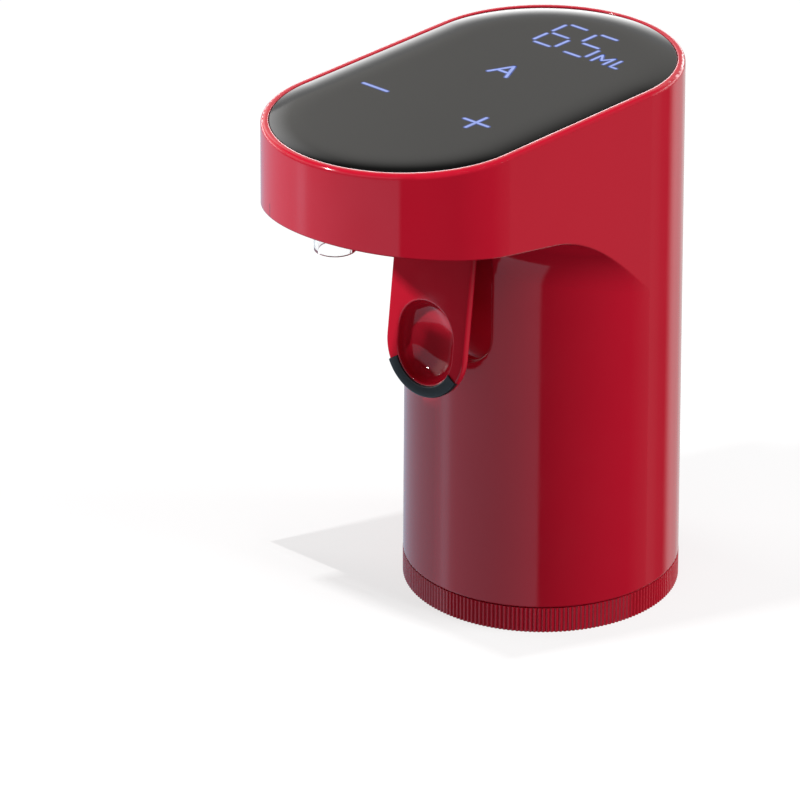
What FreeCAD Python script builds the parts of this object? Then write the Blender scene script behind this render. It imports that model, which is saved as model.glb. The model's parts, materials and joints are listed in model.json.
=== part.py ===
import FreeCAD, Part
import math
import os

from FreeCAD import Vector

os.makedirs("parts", exist_ok=True)

# Wine preservation dispenser that stands on the neck of an opened bottle.
# Millimetres. The origin is on the bottle's axis in the plane of the foot,
# +Z is up and the spout overhangs towards -Y.

X_AXIS = Vector(1, 0, 0)
Y_AXIS = Vector(0, 1, 0)
Z_AXIS = Vector(0, 0, 1)
ORIGIN = Vector(0, 0, 0)

# ---- driving dimensions: outer form ----------------------------------------
TOTAL_HEIGHT = 102.0        # foot of the ring to the top rim
HEAD_REACH = 37.6           # column axis to the axis of the head's round end
TOP_RADIUS = 24.75          # both round ends, at the rim
DRAFT = 0.6                 # how much larger they would be at z = 0
TIP_DEPTH = 14.2            # depth of the head at its front tip
UNDERSIDE_SLOPE = 0.175     # fall of the underside per millimetre towards the column
THROAT_FILLET = 12.5        # between the underside and the column
RIM_ROUND = 0.7             # outer edge of the top rim
HEAD_FLOOR = 2.2
COLUMN_WALL = 2.15          # measured at the rim
HEAD_WALL = 2.85
OVERLAP = 0.5               # how far joined features run into each other
CUT_THROUGH = 1.0           # how far a cutter runs past the face that it opens

# ---- driving dimensions: fits ------------------------------------------------
RUN_CLEARANCE = 0.06        # radial, shaft in bore
PRESS_CLEARANCE = 0.02      # radial, pieces pushed together
THREAD_CLEARANCE = 0.03     # radial, screw in its tapped hole
BARB_CLEARANCE = 0.05       # radial, hose on its barb
FIT_CLEARANCE = 0.15        # radial, pieces that slide together at assembly
LOOSE_CLEARANCE = 0.4
END_CLEARANCE = 0.1

# ---- driving dimensions: bottle, ring and stopper ---------------------------
NECK_RADIUS = 15.0          # outside of a bottle's neck with its capsule
MOUTH_RADIUS = 9.25         # inside of the bottle's mouth
NECK_CLEARANCE = 0.5        # in the ring's guide bore
SOCKET_CLEARANCE = 1.3      # in the socket above the guide
STOPPER_SQUEEZE = 0.15      # how far the silicone stands over the mouth's radius
RING_HEIGHT = 4.8
RING_RIB_COUNT = 200
RING_RIB_DEPTH = 0.25
RIB_CREST = (0.35, 0.65)    # shares of a rib's pitch
RING_FLOOR = 2.0
RING_INSET = 0.3            # rim's inside to the column's bore
GUIDE_HEIGHT = 8.0          # length of the bore that guides the neck
SEAM = 0.25                 # gap between the ring and the shell
SOCKET_WALL = 1.7
CEILING_LOW = 24.8
CEILING_THICKNESS = 3.5
SKIRT_WALL = 1.85
BAYONET_DEPTH = 0.9
BAYONET_LOW = 7.6
BAYONET_HEIGHT = 1.8
LUG_ANGLE = 24.0
LUG_GAP = 0.3
SLOT_EXTRA = 3.0            # degrees by which an entry slot is wider than its lug
RING_TURN = 30.0            # degrees from locked to free
SPIGOT_WALL = 1.2
SNAP_LOW = 14.0
SNAP_HEIGHT = 2.2
SNAP_DEPTH = 0.7
SNAP_WIDTH = 7.0
SNAP_PLAY = 0.2
GASKET_HEIGHT = 1.0
GASKET_INSET = 0.3
CORE_RADIUS = 4.5
CORE_NECK = 6.5
CORE_FLANGE = 7.5
CORE_FLANGE_HEIGHT = 2.0
CORE_LOW = 8.6
AIR_BORE = 0.7
AIR_BORE_Y = -3.5
AIR_PORT_Y = -10.5
AIR_TONGUE_WALL = 2.6
WINE_BARB_HEIGHT = 7.0
AIR_BARB_HEIGHT = 2.5
BARB_WALL = 0.6
DIP_SOCKET_RADIUS = 2.5
DIP_SOCKET_DEPTH = 7.5
O_RING_GROOVE = 1.3
LAND_HEIGHT = 2.5
LAND_COUNT = 3
LAND_GROOVE = 1.5
LAND_DEPTH = 0.7
TIP_TAPER = (1.4, 2.0)      # radius and height lost at the stopper's tip
STOPPER_RELIEF = 0.4
CHASSIS_SCREW_RADIUS = 1.25
CHASSIS_SCREW_HEAD = 2.1
CHASSIS_SCREW_HEAD_HEIGHT = 1.5
CHASSIS_SCREW_INSET = 3.3   # from the socket's wall
CHASSIS_POST_RADIUS = 2.9

# ---- driving dimensions: pocket behind the trigger ------------------------------
POCKET_HALF_WIDTH = 8.4
POCKET_DEPTH = 1.35         # from the column's radius at the rim
POCKET_HEIGHT = 27.8
POCKET_DROP = 6.5           # pivot to the pocket's top
POCKET_CORNER = 5.8
POCKET_BACKING = 2.2

# ---- driving dimensions: trigger, heights given as drops from its pivot --------
PADDLE_AHEAD = 5.25         # the tongue's face at FLUSH_Z, from the column's radius at the rim
PIVOT_SETBACK = 1.4         # behind that face
PIVOT_RISE = 4.11           # above the underside
PIN_RADIUS = 1.0
HUB_RADIUS = 2.4
EAR_THICKNESS = 2.6
EAR_HALF_DEPTH = 2.6
EAR_RISE = 2.8
PADDLE_TILT = 6.7           # degrees the tongue leans forward
FLUSH_DROP = 13.0           # the height about which the tongue leans
PADDLE_HALF_WIDTH = 9.1     # also the radius of its round tip
PADDLE_TIP_DROP = 30.0      # centre of the round tip
PADDLE_THICKNESS = 1.6
DISH_SPHERE = 8.8
DISH_DEPTH = 3.2
DISH_DROP = 29.1
DISH_HALF_RUN = 1.3         # makes the round dish an oval
DISH_WALL = 1.2
BUMPER_DROP = 32.9          # the bumper's ends, at the dish
BUMPER_END_INNER = 6.8      # half-width where those ends begin to slope down
BUMPER_END_SLOPE = 1.45
BUMPER_PROUD = 0.35
BUMPER_INLAY = 1.1
PUSHER_DROP = 20.0
PUSHER_RADIUS = 1.5
PUSHER_ROOM = 0.8
PUSHER_SAG = 0.3            # the pusher's hole is higher by this
SPRING_DROP = 11.0
SPRING_RADIUS = 1.7
SPRING_WIRE = 0.22
SPRING_TURNS = 5
SWITCH_HALF_WIDTH = 4.0
SWITCH_HALF_HEIGHT = 3.5
SWITCH_DEPTH = 6.1
SWITCH_FLOOR = 1.6
PLUNGER_RADIUS = 1.2
PLUNGER_TRAVEL = 1.6
PLUNGER_GAP = 0.15
PLUNGER_STANDOUT = 0.3      # left outside the switch when fully pressed
TRIGGER_BOARD_SETBACK = 11.2
TRIGGER_BOARD_THICKNESS = 1.0
TRIGGER_BOARD_HALF_WIDTH = 9.0
TRIGGER_BOARD_HALF_HEIGHT = 8.0
SWITCH_POST_X = 6.9
SWITCH_POST_RADIUS = 2.1

# ---- driving dimensions: panel and boards -----------------------------------
RIM_WIDTH = 1.35
PANEL_THICKNESS = 2.4
PANEL_ROUND = 1.6
GASKET_THICKNESS = 0.2
BOARD_THICKNESS = 1.0
LAMP_ROOM = 1.6             # between the display board and the panel
BOARD_MARGIN = 0.4
VOLUME_KEYS_X = (-12.9, 10.4)
VOLUME_KEYS_BACK = 7.2      # behind the axis of the head's round end
MODE_KEY = (-0.6, -10.5)
KEY_SPRING_RADIUS = 4.6
KEY_SPRING_WIRE = 0.5
KEY_SPRING_PLAY = 0.05
LAMP_HALF_SIZE = (1.6, 1.0)
LAMP_HEIGHT = 0.8
DIGIT_WIDTH = 24.0
DIGIT_DEPTH = 15.0
DIGIT_CENTRE_Y = 9.5
POST_RADIUS = 2.4
HEAD_POST_WALL_GAP = 1.0    # posts to the cavity's straight wall
HEAD_POST_BACK = 15.6       # behind the axis of the head's round end
TIP_POST_X = 12.0
TIP_POST_AHEAD = 14.4
REAR_POST_INSET = 4.0       # from the column's bore
REAR_POST_ANGLE = 40.6
REAR_POST_LENGTH = 13.0
REAR_POST_WEB = 1.6
SCREW_RADIUS = 0.95
SCREW_HEAD_RADIUS = 1.8
SCREW_HEAD_HEIGHT = 1.2
SCREW_REACH = 4.5
SCREW_TIP_GAP = 0.3
SCREW_SLOT_HALF = 0.2
SCREW_SLOT_DEPTH = 0.5
RIBBON_HALF_WIDTH = 4.0
RIBBON_THICKNESS = 0.3
RIBBON_OVERLAP = 6.0

# ---- driving dimensions: wine path ------------------------------------------
NOZZLE_AHEAD = 17.4         # in front of the axis of the head's round end
NOZZLE_RADIUS = 3.7
NOZZLE_BORE = 3.0
NOZZLE_STANDOUT = 3.43      # below the underside
NOZZLE_FLANGE_WIDTH = 1.9
NOZZLE_FLANGE_HEIGHT = 1.0
NOZZLE_ROOF = 1.2
NOZZLE_BOSS_RISE = 1.27
NOZZLE_BOSS_WALL = 1.0
SEAL_WALL = 0.88
SEAL_LIP = 0.8
SEAL_RECESS = 0.9           # its lower end above the underside
TUBE_RADIUS = 3.0
TUBE_BORE = 2.0
TUBE_BOARD_GAP = 1.0
TUBE_BEND = 20.0
TUBE_BARB_REACH = 4.5

# ---- driving dimensions: chassis and what it carries --------------------------
DECK_GAP = 0.2
DECK_THICKNESS = 2.0
DECK_CLEARANCE = 0.3
CRADLE_WALL = 1.2
CELL_RADIUS = 7.0
CELL_LENGTH = 50.0
CELL_WALL_GAP = 1.18        # from the column's bore
CELL_ANGLE = 146.3
CELL_EDGE_ROUND = 0.8
CELL_BUTTON_RADIUS = 2.6
CELL_BUTTON_HEIGHT = 1.0
CELL_CONTACT = 0.5
CELL_CONTACT_RADIUS = 5.0
TOP_CONTACT_RADIUS = 4.5
TOP_CONTACT = 0.35
CELL_CRADLE_HEIGHT = 38.0
CRADLE_WINDOW = 10.0
LEAD_RADIUS = 0.45
LEAD_SPACING = 1.0          # each side of the middle
LEAD_RISE = 4.0
LEAD_SIDE_INSET = 1.0       # the leads' drop to the cell's side and back, from its radius
LEAD_BACK_INSET = 0.5
LEAD_END = 3.0              # below the main board's top
PUMP_RADIUS = 9.0
PUMP_WALL_GAP = 0.4
PUMP_ANGLE = 17.6
PUMP_GAP = 0.3
MOTOR_LENGTH = 24.0
MOTOR_BORE_DEPTH = 12.0
CRANKCASE_HEIGHT = 9.0
CRANKCASE_FLOOR = 1.5
CRANKCASE_CAVITY = 6.5
CRANKCASE_VENT = 0.8
CRANKCASE_VENT_RISE = 4.0
SHAFT_RADIUS = 1.0
SHAFT_HOLE_PLAY = 0.2
SHAFT_TOP = 0.4             # above the crank disc
CRANK_RADIUS = 3.6
CRANK_HEIGHT = 3.0
CRANK_OFFSET = 1.0
CRANK_RISE = 1.5            # above the crankcase's floor
DIAPHRAGM_THICKNESS = 1.0
DIAPHRAGM_INSET = 0.2
DIAPHRAGM_STUB_RADIUS = 2.2
PUMP_CAP_HEIGHT = 5.0
PUMP_CHAMBER_RADIUS = 5.0
PUMP_CHAMBER_HEIGHT = 2.5
PUMP_CRADLE_HEIGHT = 20.0
MAIN_BOARD_INSET = 5.7      # from the column's bore to the board's front face
MAIN_BOARD_THICKNESS = 1.2
MAIN_BOARD_HALF_WIDTH = 10.3
MAIN_BOARD_RISE = 3.5       # above the deck
MAIN_BOARD_LENGTH = 44.0
RAIL_THICKNESS = 1.1
RAIL_GRIP = 0.6
RAIL_BEHIND = 0.8
RAIL_SHORTER = 8.0
CHIPS = {                   # centre x, height on the board, half width, half height, thickness
    "controller": (0.0, 27.5, 3.5, 3.5, 1.0),
    "motor_driver": (-6.25, 35.75, 1.75, 1.75, 1.2),
    "charger": (5.0, 6.0, 2.0, 2.0, 1.5),
    "regulator": (-0.5, 13.5, 1.5, 1.5, 0.8),
}
CAPACITOR = (6.2, 36.0, 2.0, 1.6)   # centre x, height on the board, radius, thickness
USB_RISE = 7.6              # above the main board's lower edge
USB_HALF_WIDTH = 4.47
USB_HALF_HEIGHT = 1.6
USB_SINK = 0.25             # mouth below the column's radius at the rim
USB_WALL = 0.3
USB_BACK = 0.8
USB_OPENING_PLAY = 0.2
USB_TONGUE_HALF_WIDTH = 3.35
USB_TONGUE_HALF_HEIGHT = 0.35
USB_TONGUE_SINK = 0.9
VENT_RISE = 8.4             # above the charging port
VENT_RADIUS = 0.7
VENT_PITCH = 2.6
VENT_COUNT = 5

# ---- driving dimensions: air path ---------------------------------------------
AIR_TUBE_RADIUS = 1.7
AIR_TUBE_BORE = 1.0
AIR_BARB_BORE = 0.6
AIR_LINE_RISE = 10.2        # top of the line above the pump's cap
BARB_LENGTH = 3.0
VALVE_RISE = 3.5            # above the deck
VALVE_HEIGHT = 17.0
VALVE_HALF_WIDTH = 7.0
VALVE_FRONT = -18.5
VALVE_REAR = -8.5
VALVE_PORT_RISE = 9.0
VALVE_PORT_Y = -12.0
VALVE_SEAT_INSET = 1.0
ARMATURE_RADIUS = 2.0
ARMATURE_Y = -14.5
ARMATURE_LENGTH = 9.7
ARMATURE_BORE_FLOOR = 3.0
ARMATURE_BORE_ROOF = 2.0
ARMATURE_REST_GAP = 0.2
CHECK_RADIUS = 3.2
CHECK_WALL_GAP = 1.0        # from the column's bore
CHECK_ANGLE = -40.6
CHECK_RISE = 3.0            # above the solenoid block
CHECK_HEIGHT = 8.0
CHECK_CHAMBER = 2.2
CHECK_END_WALL = 1.5


# ---- derived places -----------------------------------------------------------
def underside(y):
    """Height of the head's outer underside."""
    return TOTAL_HEIGHT - TIP_DEPTH - UNDERSIDE_SLOPE * (y + HEAD_REACH + TOP_RADIUS)


def polar(pitch, angle):
    return pitch * math.cos(math.radians(angle)), pitch * math.sin(math.radians(angle))


FOOT_RADIUS = TOP_RADIUS + DRAFT
BORE_RADIUS = TOP_RADIUS - COLUMN_WALL
CAVITY_RADIUS = TOP_RADIUS - HEAD_WALL
RECESS_RADIUS = TOP_RADIUS - RIM_WIDTH
SHELL_LOW = RING_HEIGHT + SEAM
LEDGE_Z = TOTAL_HEIGHT - PANEL_THICKNESS - GASKET_THICKNESS
PANEL_LOW = LEDGE_Z + GASKET_THICKNESS
BOARD_TOP = PANEL_LOW - LAMP_ROOM
BOARD_LOW = BOARD_TOP - BOARD_THICKNESS
BORE_TOP = BOARD_LOW - 2 * BOARD_THICKNESS

FACE_Y = -(TOP_RADIUS + PADDLE_AHEAD)
PIVOT_Y = FACE_Y + PIVOT_SETBACK
PIVOT_Z = underside(PIVOT_Y) + PIVOT_RISE
FLUSH_Z = PIVOT_Z - FLUSH_DROP
PADDLE_TIP_CENTRE = PIVOT_Z - PADDLE_TIP_DROP
DISH_CENTRE = PIVOT_Z - DISH_DROP
BUMPER_TOP = PIVOT_Z - BUMPER_DROP
PUSHER_Z = PIVOT_Z - PUSHER_DROP
SPRING_Z = PIVOT_Z - SPRING_DROP
POCKET_FLOOR = -(TOP_RADIUS - POCKET_DEPTH)
POCKET_HIGH = PIVOT_Z - POCKET_DROP
POCKET_LOW = POCKET_HIGH - POCKET_HEIGHT
BACKING_INNER = POCKET_FLOOR + POCKET_BACKING
EAR_INNER = PADDLE_HALF_WIDTH + 2 * LOOSE_CLEARANCE
TRIGGER_BOARD_Y = POCKET_FLOOR + TRIGGER_BOARD_SETBACK
SWITCH_FRONT = TRIGGER_BOARD_Y - SWITCH_DEPTH
PLUNGER_FRONT = SWITCH_FRONT - PLUNGER_TRAVEL - PLUNGER_STANDOUT
PUSHER_TIP = PLUNGER_FRONT - PLUNGER_GAP

KEY_PLACES = [(x, VOLUME_KEYS_BACK - HEAD_REACH) for x in VOLUME_KEYS_X] + [MODE_KEY]
HEAD_POST_X = CAVITY_RADIUS - POST_RADIUS - HEAD_POST_WALL_GAP
HEAD_POSTS = [(side * HEAD_POST_X, HEAD_POST_BACK - HEAD_REACH) for side in (-1, 1)]
TIP_POSTS = [(side * TIP_POST_X, -HEAD_REACH - TIP_POST_AHEAD) for side in (-1, 1)]
REAR_POST_ANGLES = (REAR_POST_ANGLE, 180 - REAR_POST_ANGLE)
REAR_POSTS = [polar(BORE_RADIUS - REAR_POST_INSET, angle) for angle in REAR_POST_ANGLES]
ALL_POSTS = HEAD_POSTS + TIP_POSTS + REAR_POSTS

NOZZLE_Y = -(HEAD_REACH + NOZZLE_AHEAD)
NOZZLE_LOW = underside(NOZZLE_Y) - NOZZLE_STANDOUT
NOZZLE_SEAT = underside(NOZZLE_Y) + HEAD_FLOOR + NOZZLE_BOSS_RISE
NOZZLE_FLANGE = NOZZLE_RADIUS + NOZZLE_FLANGE_WIDTH
NOZZLE_BOSS_RADIUS = NOZZLE_FLANGE + NOZZLE_BOSS_WALL
TUBE_RUN_Z = BOARD_LOW - TUBE_RADIUS - TUBE_BOARD_GAP
TUBE_FRONT = NOZZLE_Y + NOZZLE_BOSS_RADIUS + LOOSE_CLEARANCE

GUIDE_RADIUS = NECK_RADIUS + NECK_CLEARANCE
SOCKET_RADIUS = NECK_RADIUS + SOCKET_CLEARANCE
STOPPER_RADIUS = MOUTH_RADIUS + STOPPER_SQUEEZE
HOUSING_RADIUS = BORE_RADIUS - FIT_CLEARANCE
SKIRT_INNER = HOUSING_RADIUS - SKIRT_WALL
SKIRT_LOW = RING_FLOOR + 2 * LUG_GAP
CEILING_HIGH = CEILING_LOW + CEILING_THICKNESS
CORE_TOP = CEILING_HIGH + CORE_FLANGE_HEIGHT
GROOVE_Z = (CEILING_LOW + CEILING_HIGH) / 2
CHASSIS_SCREWS = [polar(SOCKET_RADIUS - CHASSIS_SCREW_INSET, angle) for angle in (90, 210, 330)]

DECK_LOW = CORE_TOP + DECK_GAP
DECK_HIGH = DECK_LOW + DECK_THICKNESS
DECK_RADIUS = BORE_RADIUS - DECK_CLEARANCE
CELL_X, CELL_Y = polar(BORE_RADIUS - CELL_RADIUS - CELL_WALL_GAP, CELL_ANGLE)
CELL_LOW = DECK_HIGH + CELL_CONTACT
CELL_HIGH = CELL_LOW + CELL_LENGTH
PUMP_X, PUMP_Y = polar(BORE_RADIUS - PUMP_RADIUS - PUMP_WALL_GAP, PUMP_ANGLE)
MOTOR_LOW = DECK_HIGH + PUMP_GAP
MOTOR_HIGH = MOTOR_LOW + MOTOR_LENGTH
DIAPHRAGM_LOW = MOTOR_HIGH + CRANKCASE_HEIGHT
PUMP_CAP_LOW = DIAPHRAGM_LOW + DIAPHRAGM_THICKNESS
PUMP_CAP_HIGH = PUMP_CAP_LOW + PUMP_CAP_HEIGHT
MAIN_BOARD_Y = BORE_RADIUS - MAIN_BOARD_INSET
MAIN_BOARD_REAR = MAIN_BOARD_Y + MAIN_BOARD_THICKNESS
MAIN_BOARD_LOW = DECK_HIGH + MAIN_BOARD_RISE
MAIN_BOARD_HIGH = MAIN_BOARD_LOW + MAIN_BOARD_LENGTH
USB_Z = MAIN_BOARD_LOW + USB_RISE
USB_MOUTH = TOP_RADIUS - USB_SINK
VENT_Z = USB_Z + VENT_RISE
VALVE_LOW = DECK_HIGH + VALVE_RISE
VALVE_HIGH = VALVE_LOW + VALVE_HEIGHT
VALVE_PORT_Z = VALVE_LOW + VALVE_PORT_RISE
CHECK_X, CHECK_Y = polar(BORE_RADIUS - CHECK_RADIUS - CHECK_WALL_GAP, CHECK_ANGLE)
CHECK_LOW = VALVE_HIGH + CHECK_RISE
CHECK_HIGH = CHECK_LOW + CHECK_HEIGHT
AIR_LINE_TOP = PUMP_CAP_HIGH + AIR_LINE_RISE
AIR_BARB = AIR_TUBE_BORE - BARB_CLEARANCE


# ---- helpers --------------------------------------------------------------------
def box(x_low, x_high, y_low, y_high, z_low, z_high):
    corner = Vector(x_low, y_low, z_low)
    return Part.makeBox(x_high - x_low, y_high - y_low, z_high - z_low, corner)


def rod(radius, z_low, z_high, x=0.0, y=0.0):
    return Part.makeCylinder(radius, z_high - z_low, Vector(x, y, z_low))


def rod_y(radius, y_low, y_high, x, z):
    return Part.makeCylinder(radius, y_high - y_low, Vector(x, y_low, z), Y_AXIS)


def rod_x(radius, x_low, x_high, y, z):
    return Part.makeCylinder(radius, x_high - x_low, Vector(x_low, y, z), X_AXIS)


def sleeve(outer, inner, z_low, z_high, x=0.0, y=0.0):
    return rod(outer, z_low, z_high, x, y).cut(rod(inner, z_low - CUT_THROUGH, z_high + CUT_THROUGH, x, y))


def joined(shapes):
    return shapes[0].fuse(shapes[1:]).removeSplitter()


def without(shape, cutters):
    return shape.cut(Part.makeCompound(cutters))


def turned(shape, angle, centre=ORIGIN, axis=Z_AXIS):
    copy = shape.copy()
    copy.rotate(centre, axis, angle)
    return copy


def stadium(radius, z_low, z_high):
    """The plan of the head: two round ends joined by straight sides."""
    rear_arc = Part.Arc(Vector(radius, 0, z_low), Vector(0, radius, z_low), Vector(-radius, 0, z_low))
    front_arc = Part.Arc(Vector(-radius, -HEAD_REACH, z_low), Vector(0, -HEAD_REACH - radius, z_low),
                         Vector(radius, -HEAD_REACH, z_low))
    left = Part.LineSegment(Vector(-radius, 0, z_low), Vector(-radius, -HEAD_REACH, z_low))
    right = Part.LineSegment(Vector(radius, -HEAD_REACH, z_low), Vector(radius, 0, z_low))
    outline = Part.Wire([part.toShape() for part in (rear_arc, left, front_arc, right)])
    return Part.Face(outline).extrude(Vector(0, 0, z_high - z_low))


def top_edges(shape, height):
    return [edge for edge in shape.Edges if min(vertex.Z for vertex in edge.Vertexes) > height - 0.01]


def rounded_rect_y(half_width, half_height, corner, y_low, y_high, z):
    """A rounded rectangle in the XZ plane, centred on x = 0 and extruded along Y."""
    block = box(-half_width, half_width, y_low, y_high, z - half_height, z + half_height)
    edges = [edge for edge in block.Edges if abs(edge.tangentAt(edge.FirstParameter).y) > 0.9]
    return block.makeFillet(corner, edges)


def rounded_path(points):
    """Straight runs joined by tangent arcs, each as large as its two runs allow."""
    corners = [Vector(*point) for point in points]
    edges = []
    start = corners[0]
    for before, corner, after in zip(corners, corners[1:], corners[2:]):
        run_in = (corner - before).normalize()
        run_out = (after - corner).normalize()
        half_turn = run_in.getAngle(run_out) / 2
        trim = 0.45 * min((corner - before).Length, (after - corner).Length)
        bend = trim / math.tan(half_turn)
        arc_start = corner - run_in * trim
        arc_end = corner + run_out * trim
        inward = (run_out - run_in).normalize()
        middle = corner + inward * (bend / math.cos(half_turn) - bend)
        edges.append(Part.LineSegment(start, arc_start).toShape())
        edges.append(Part.Arc(arc_start, middle, arc_end).toShape())
        start = arc_end
    edges.append(Part.LineSegment(start, corners[-1]).toShape())
    return Part.Wire(edges)


def swept(path, radius):
    edge = path.Edges[0]
    section = Part.Wire(Part.makeCircle(radius, edge.Vertexes[0].Point, edge.tangentAt(edge.FirstParameter)))
    return path.makePipeShell([section], True, False)


def hose(name, path, outer, inner):
    solid = swept(path, outer).cut(swept(path, inner))
    expected = math.pi * (outer ** 2 - inner ** 2) * path.Length
    print(f"{name}: length {path.Length:.1f}, volume {solid.Volume:.1f}, section x length {expected:.1f}")
    return solid


def save(node, shape):
    solids = shape.Solids
    result = solids[0] if len(solids) == 1 else Part.makeCompound(solids)
    result.exportStep("parts/" + node + ".step")
    volume = sum(solid.Volume for solid in solids)
    print(f"{node:20s} solids {len(solids):2d} valid {result.isValid()} volume {volume:9.1f}")


# ---- shell ----------------------------------------------------------------------
def outer_radius(z):
    return FOOT_RADIUS - DRAFT * z / TOTAL_HEIGHT


def above_underside(lift):
    """Everything above the sloping underside, raised by lift."""
    half_width, front, rear = 2 * TOP_RADIUS, -2 * (HEAD_REACH + TOP_RADIUS), 2 * TOP_RADIUS
    top = 2 * TOTAL_HEIGHT
    corners = [Vector(-half_width, front, underside(front) + lift),
               Vector(-half_width, rear, underside(rear) + lift),
               Vector(-half_width, rear, top),
               Vector(-half_width, front, top)]
    outline = Part.makePolygon(corners + corners[:1])
    return Part.Face(outline).extrude(Vector(2 * half_width, 0, 0))


def is_throat(edge):
    """True for the edges where the underside plane meets the column."""
    samples = [edge.valueAt(edge.FirstParameter + share * (edge.LastParameter - edge.FirstParameter))
               for share in (0.0, 0.3, 0.7, 1.0)]
    return all(abs(point.z - underside(point.y)) < 0.01
               and math.hypot(point.x, point.y) < FOOT_RADIUS + 0.1 for point in samples)


def shell_blank():
    """The outer form, solid: column, head and throat fillet."""
    rear = Part.makeCone(FOOT_RADIUS, TOP_RADIUS, TOTAL_HEIGHT, ORIGIN, Z_AXIS, 180)
    front = turned(rear, 180)
    front.translate(Vector(0, -HEAD_REACH, 0))
    section = [Vector(-FOOT_RADIUS, 0, 0), Vector(FOOT_RADIUS, 0, 0),
               Vector(TOP_RADIUS, 0, TOTAL_HEIGHT), Vector(-TOP_RADIUS, 0, TOTAL_HEIGHT)]
    middle = Part.Face(Part.makePolygon(section + section[:1])).extrude(Vector(0, -HEAD_REACH, 0))
    column = Part.makeCone(FOOT_RADIUS, TOP_RADIUS, TOTAL_HEIGHT)
    flare = column.fuse(above_underside(0.0))
    flare = flare.makeFillet(THROAT_FILLET, [edge for edge in flare.Edges if is_throat(edge)])
    overhang = middle.fuse(front).common(flare)
    blank = joined([rear, overhang])
    blank = blank.makeFillet(RIM_ROUND, top_edges(blank, TOTAL_HEIGHT))
    return blank.cut(stadium(2 * FOOT_RADIUS, -CUT_THROUGH, SHELL_LOW))


def main_shell():
    shell = shell_blank()
    cavity = stadium(CAVITY_RADIUS, 0, LEDGE_Z + CUT_THROUGH).common(above_underside(HEAD_FLOOR))
    recess = stadium(RECESS_RADIUS, LEDGE_Z, TOTAL_HEIGHT + CUT_THROUGH)
    bore = rod(BORE_RADIUS, 0, BORE_TOP)
    snap_groove = sleeve(BORE_RADIUS + SNAP_DEPTH, BORE_RADIUS - OVERLAP, SNAP_LOW, SNAP_LOW + SNAP_HEIGHT)
    for cutter in (cavity, recess, bore, snap_groove):
        shell = shell.cut(cutter)
    shell = joined([shell] + shell_posts() + pivot_ears() + pocket_additions() + [nozzle_boss()])
    return without(shell, shell_openings())


def shell_posts():
    """Posts for the display board: four in the head, two on the column's rear wall."""
    posts = [rod(POST_RADIUS, underside(y) + HEAD_FLOOR / 2, BOARD_LOW, x, y)
             for x, y in HEAD_POSTS + TIP_POSTS]
    low = BOARD_LOW - REAR_POST_LENGTH
    for x, y in REAR_POSTS:
        posts.append(rod(POST_RADIUS, low, BOARD_LOW, x, y))
        web = box(math.hypot(x, y), BORE_RADIUS + OVERLAP, -REAR_POST_WEB / 2, REAR_POST_WEB / 2,
                  low, BORE_TOP - OVERLAP)
        posts.append(turned(web, math.degrees(math.atan2(y, x))))
    return posts


def pivot_ears():
    low = underside(PIVOT_Y) + HEAD_FLOOR / 2
    ears = []
    for side in (-1, 1):
        x_low, x_high = sorted((side * EAR_INNER, side * (EAR_INNER + EAR_THICKNESS)))
        ears.append(box(x_low, x_high, PIVOT_Y - EAR_HALF_DEPTH, PIVOT_Y + EAR_HALF_DEPTH,
                        low, PIVOT_Z + EAR_RISE))
    return ears


def pocket_additions():
    """Backing behind the pocket's floor and the two posts of the trigger board."""
    half = POCKET_HALF_WIDTH + OVERLAP
    backing = box(-half, half, POCKET_FLOOR - OVERLAP, BACKING_INNER,
                  POCKET_LOW - POCKET_BACKING, underside(POCKET_FLOOR) + OVERLAP)
    low = BACKING_INNER - OVERLAP
    posts = [rod_y(SWITCH_POST_RADIUS, low, TRIGGER_BOARD_Y, side * SWITCH_POST_X, PUSHER_Z)
             for side in (-1, 1)]
    return [backing.common(rod(BORE_RADIUS + OVERLAP, 0, TOTAL_HEIGHT))] + posts


def nozzle_boss():
    boss = rod(NOZZLE_BOSS_RADIUS, underside(NOZZLE_Y) + HEAD_FLOOR / 2, NOZZLE_SEAT, 0, NOZZLE_Y)
    return boss.common(stadium(CAVITY_RADIUS + OVERLAP, 0, TOTAL_HEIGHT))


def shell_openings():
    openings = [trigger_pocket(), trigger_slot(), port_opening(),
                rod_x(PIN_RADIUS + PRESS_CLEARANCE, -TOP_RADIUS, TOP_RADIUS, PIVOT_Y, PIVOT_Z).common(
                    stadium(CAVITY_RADIUS, 0, TOTAL_HEIGHT)),
                rod_y(PUSHER_RADIUS + PUSHER_ROOM, POCKET_FLOOR - CUT_THROUGH, BACKING_INNER + CUT_THROUGH,
                      0, PUSHER_Z + PUSHER_SAG),
                rod(NOZZLE_RADIUS + SEAL_WALL, NOZZLE_LOW, NOZZLE_SEAT + CUT_THROUGH, 0, NOZZLE_Y)]
    tap = SCREW_RADIUS + THREAD_CLEARANCE
    for x, y in ALL_POSTS:
        openings.append(rod(tap, BOARD_LOW - SCREW_REACH, BOARD_LOW + CUT_THROUGH, x, y))
    for side in (-1, 1):
        openings.append(rod_y(tap, TRIGGER_BOARD_Y - SCREW_REACH, TRIGGER_BOARD_Y + CUT_THROUGH,
                              side * SWITCH_POST_X, PUSHER_Z))
    for index in range(VENT_COUNT):
        x = (index - (VENT_COUNT - 1) / 2) * VENT_PITCH
        openings.append(rod_y(VENT_RADIUS, MAIN_BOARD_REAR, FOOT_RADIUS + CUT_THROUGH, x, VENT_Z))
    return openings


def trigger_pocket():
    """The flat sunk into the column's front, behind the tongue."""
    return rounded_rect_y(POCKET_HALF_WIDTH, POCKET_HEIGHT / 2, POCKET_CORNER, FACE_Y - PADDLE_AHEAD,
                          POCKET_FLOOR, (POCKET_HIGH + POCKET_LOW) / 2)


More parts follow.
